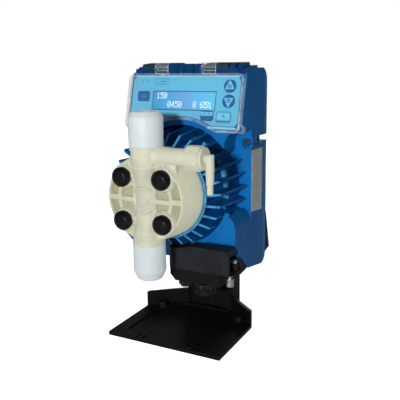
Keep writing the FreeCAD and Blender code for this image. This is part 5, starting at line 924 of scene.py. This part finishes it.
def floor():
    """A wide flat pale sheet under the object, whiter to the eye than the light it sheds."""
    reach = np.linspace(-FLOOR_HALF, FLOOR_HALF, 7)
    x, y = np.meshgrid(reach, reach)
    points = np.stack([x, y, np.full_like(x, -FLOOR_DROP)], -1).reshape(-1, 3)
    index = np.arange(points.shape[0]).reshape(x.shape)
    faces = np.stack([index[:-1, :-1], index[:-1, 1:], index[1:, 1:], index[1:, :-1]], -1).reshape(-1, 4)
    mesh = bpy.data.meshes.new("floor")
    mesh.from_pydata(points.tolist(), [], faces.tolist())
    ground = bpy.data.objects.new("floor", mesh)
    bpy.context.scene.collection.objects.link(ground)
    material = finish("pale_floor", (232, 232, 232), rough=0.9, specular=0.05, mottle=0.0, grain=0.0)
    tree = material.node_tree
    shader = tree.nodes["Principled BSDF"]
    path = tree.nodes.new("ShaderNodeLightPath")
    lift = tree.nodes.new("ShaderNodeMath")
    lift.operation = "MULTIPLY"
    lift.inputs[1].default_value = FLOOR_LIFT
    tree.links.new(path.outputs["Is Camera Ray"], lift.inputs[0])
    shader.inputs["Emission Color"].default_value = (1.0, 1.0, 1.0, 1.0)
    tree.links.new(lift.outputs["Value"], shader.inputs["Emission Strength"])
    mesh.materials.append(material)


def lamp(name, watts, radius, towards):
    """A round lamp a metre from the middle of the object, in the direction towards."""
    light_data = bpy.data.lights.new(name, "POINT")
    light_data.energy = watts
    light_data.shadow_soft_size = radius
    stand = bpy.data.objects.new(name, light_data)
    bpy.context.scene.collection.objects.link(stand)
    stand.location = LIT_MIDDLE + towards.normalized()
    return stand


def light():
    """A small lamp a hand's width left of the eye, a softer one behind, a low fill, a white background."""
    world = bpy.data.worlds.new("studio")
    bpy.context.scene.world = world
    world.use_nodes = True
    tree = world.node_tree
    tree.nodes.clear()
    out = tree.nodes.new("ShaderNodeOutputWorld")
    fill = tree.nodes.new("ShaderNodeBackground")
    fill.inputs["Color"].default_value = (0.97, 0.98, 1.0, 1.0)
    fill.inputs["Strength"].default_value = FILL
    backdrop = tree.nodes.new("ShaderNodeBackground")
    backdrop.inputs["Color"].default_value = (1.0, 1.0, 1.0, 1.0)
    backdrop.inputs["Strength"].default_value = 1.0
    path = tree.nodes.new("ShaderNodeLightPath")
    choice = tree.nodes.new("ShaderNodeMixShader")
    tree.links.new(path.outputs["Is Camera Ray"], choice.inputs["Fac"])
    tree.links.new(fill.outputs["Background"], choice.inputs[1])
    tree.links.new(backdrop.outputs["Background"], choice.inputs[2])
    tree.links.new(choice.outputs["Shader"], out.inputs["Surface"])
    across = Vector((math.cos(VIEW_AZIMUTH), math.sin(VIEW_AZIMUTH), 0.0))
    beside_eye = Vector(VIEW_PLACE) - across * KEY_ASIDE + Vector((0.0, 0.0, KEY_ABOVE))
    lamp("key", KEY_WATTS, KEY_R, beside_eye - LIT_MIDDLE)
    back_way = Vector((-math.sin(BACK_TURN), math.cos(BACK_TURN), 0.0))
    lamp("behind", BACK_WATTS, BACK_R, back_way).visible_camera = False


def camera():
    """Looks at the front from the right, a little above the top of the barrel."""
    right = np.array([math.cos(VIEW_AZIMUTH), math.sin(VIEW_AZIMUTH), 0.0])
    forward = np.array([-math.sin(VIEW_AZIMUTH) * math.cos(VIEW_ELEVATION),
                        math.cos(VIEW_AZIMUTH) * math.cos(VIEW_ELEVATION), -math.sin(VIEW_ELEVATION)])
    up = np.cross(right, forward)
    cos, sin = math.cos(VIEW_ROLL), math.sin(VIEW_ROLL)
    right, up = right * cos + up * sin, up * cos - right * sin
    data = bpy.data.cameras.new("camera")
    data.sensor_width = VIEW_FILM
    data.lens = VIEW_LENS
    eye = bpy.data.objects.new("camera", data)
    bpy.context.scene.collection.objects.link(eye)
    turn = Matrix(np.column_stack([right, up, -forward]).tolist()).to_4x4()
    eye.matrix_world = Matrix.Translation(VIEW_PLACE) @ turn
    bpy.context.scene.camera = eye


floor()
light()
camera()
bpy.context.scene.view_settings.view_transform = "Standard"
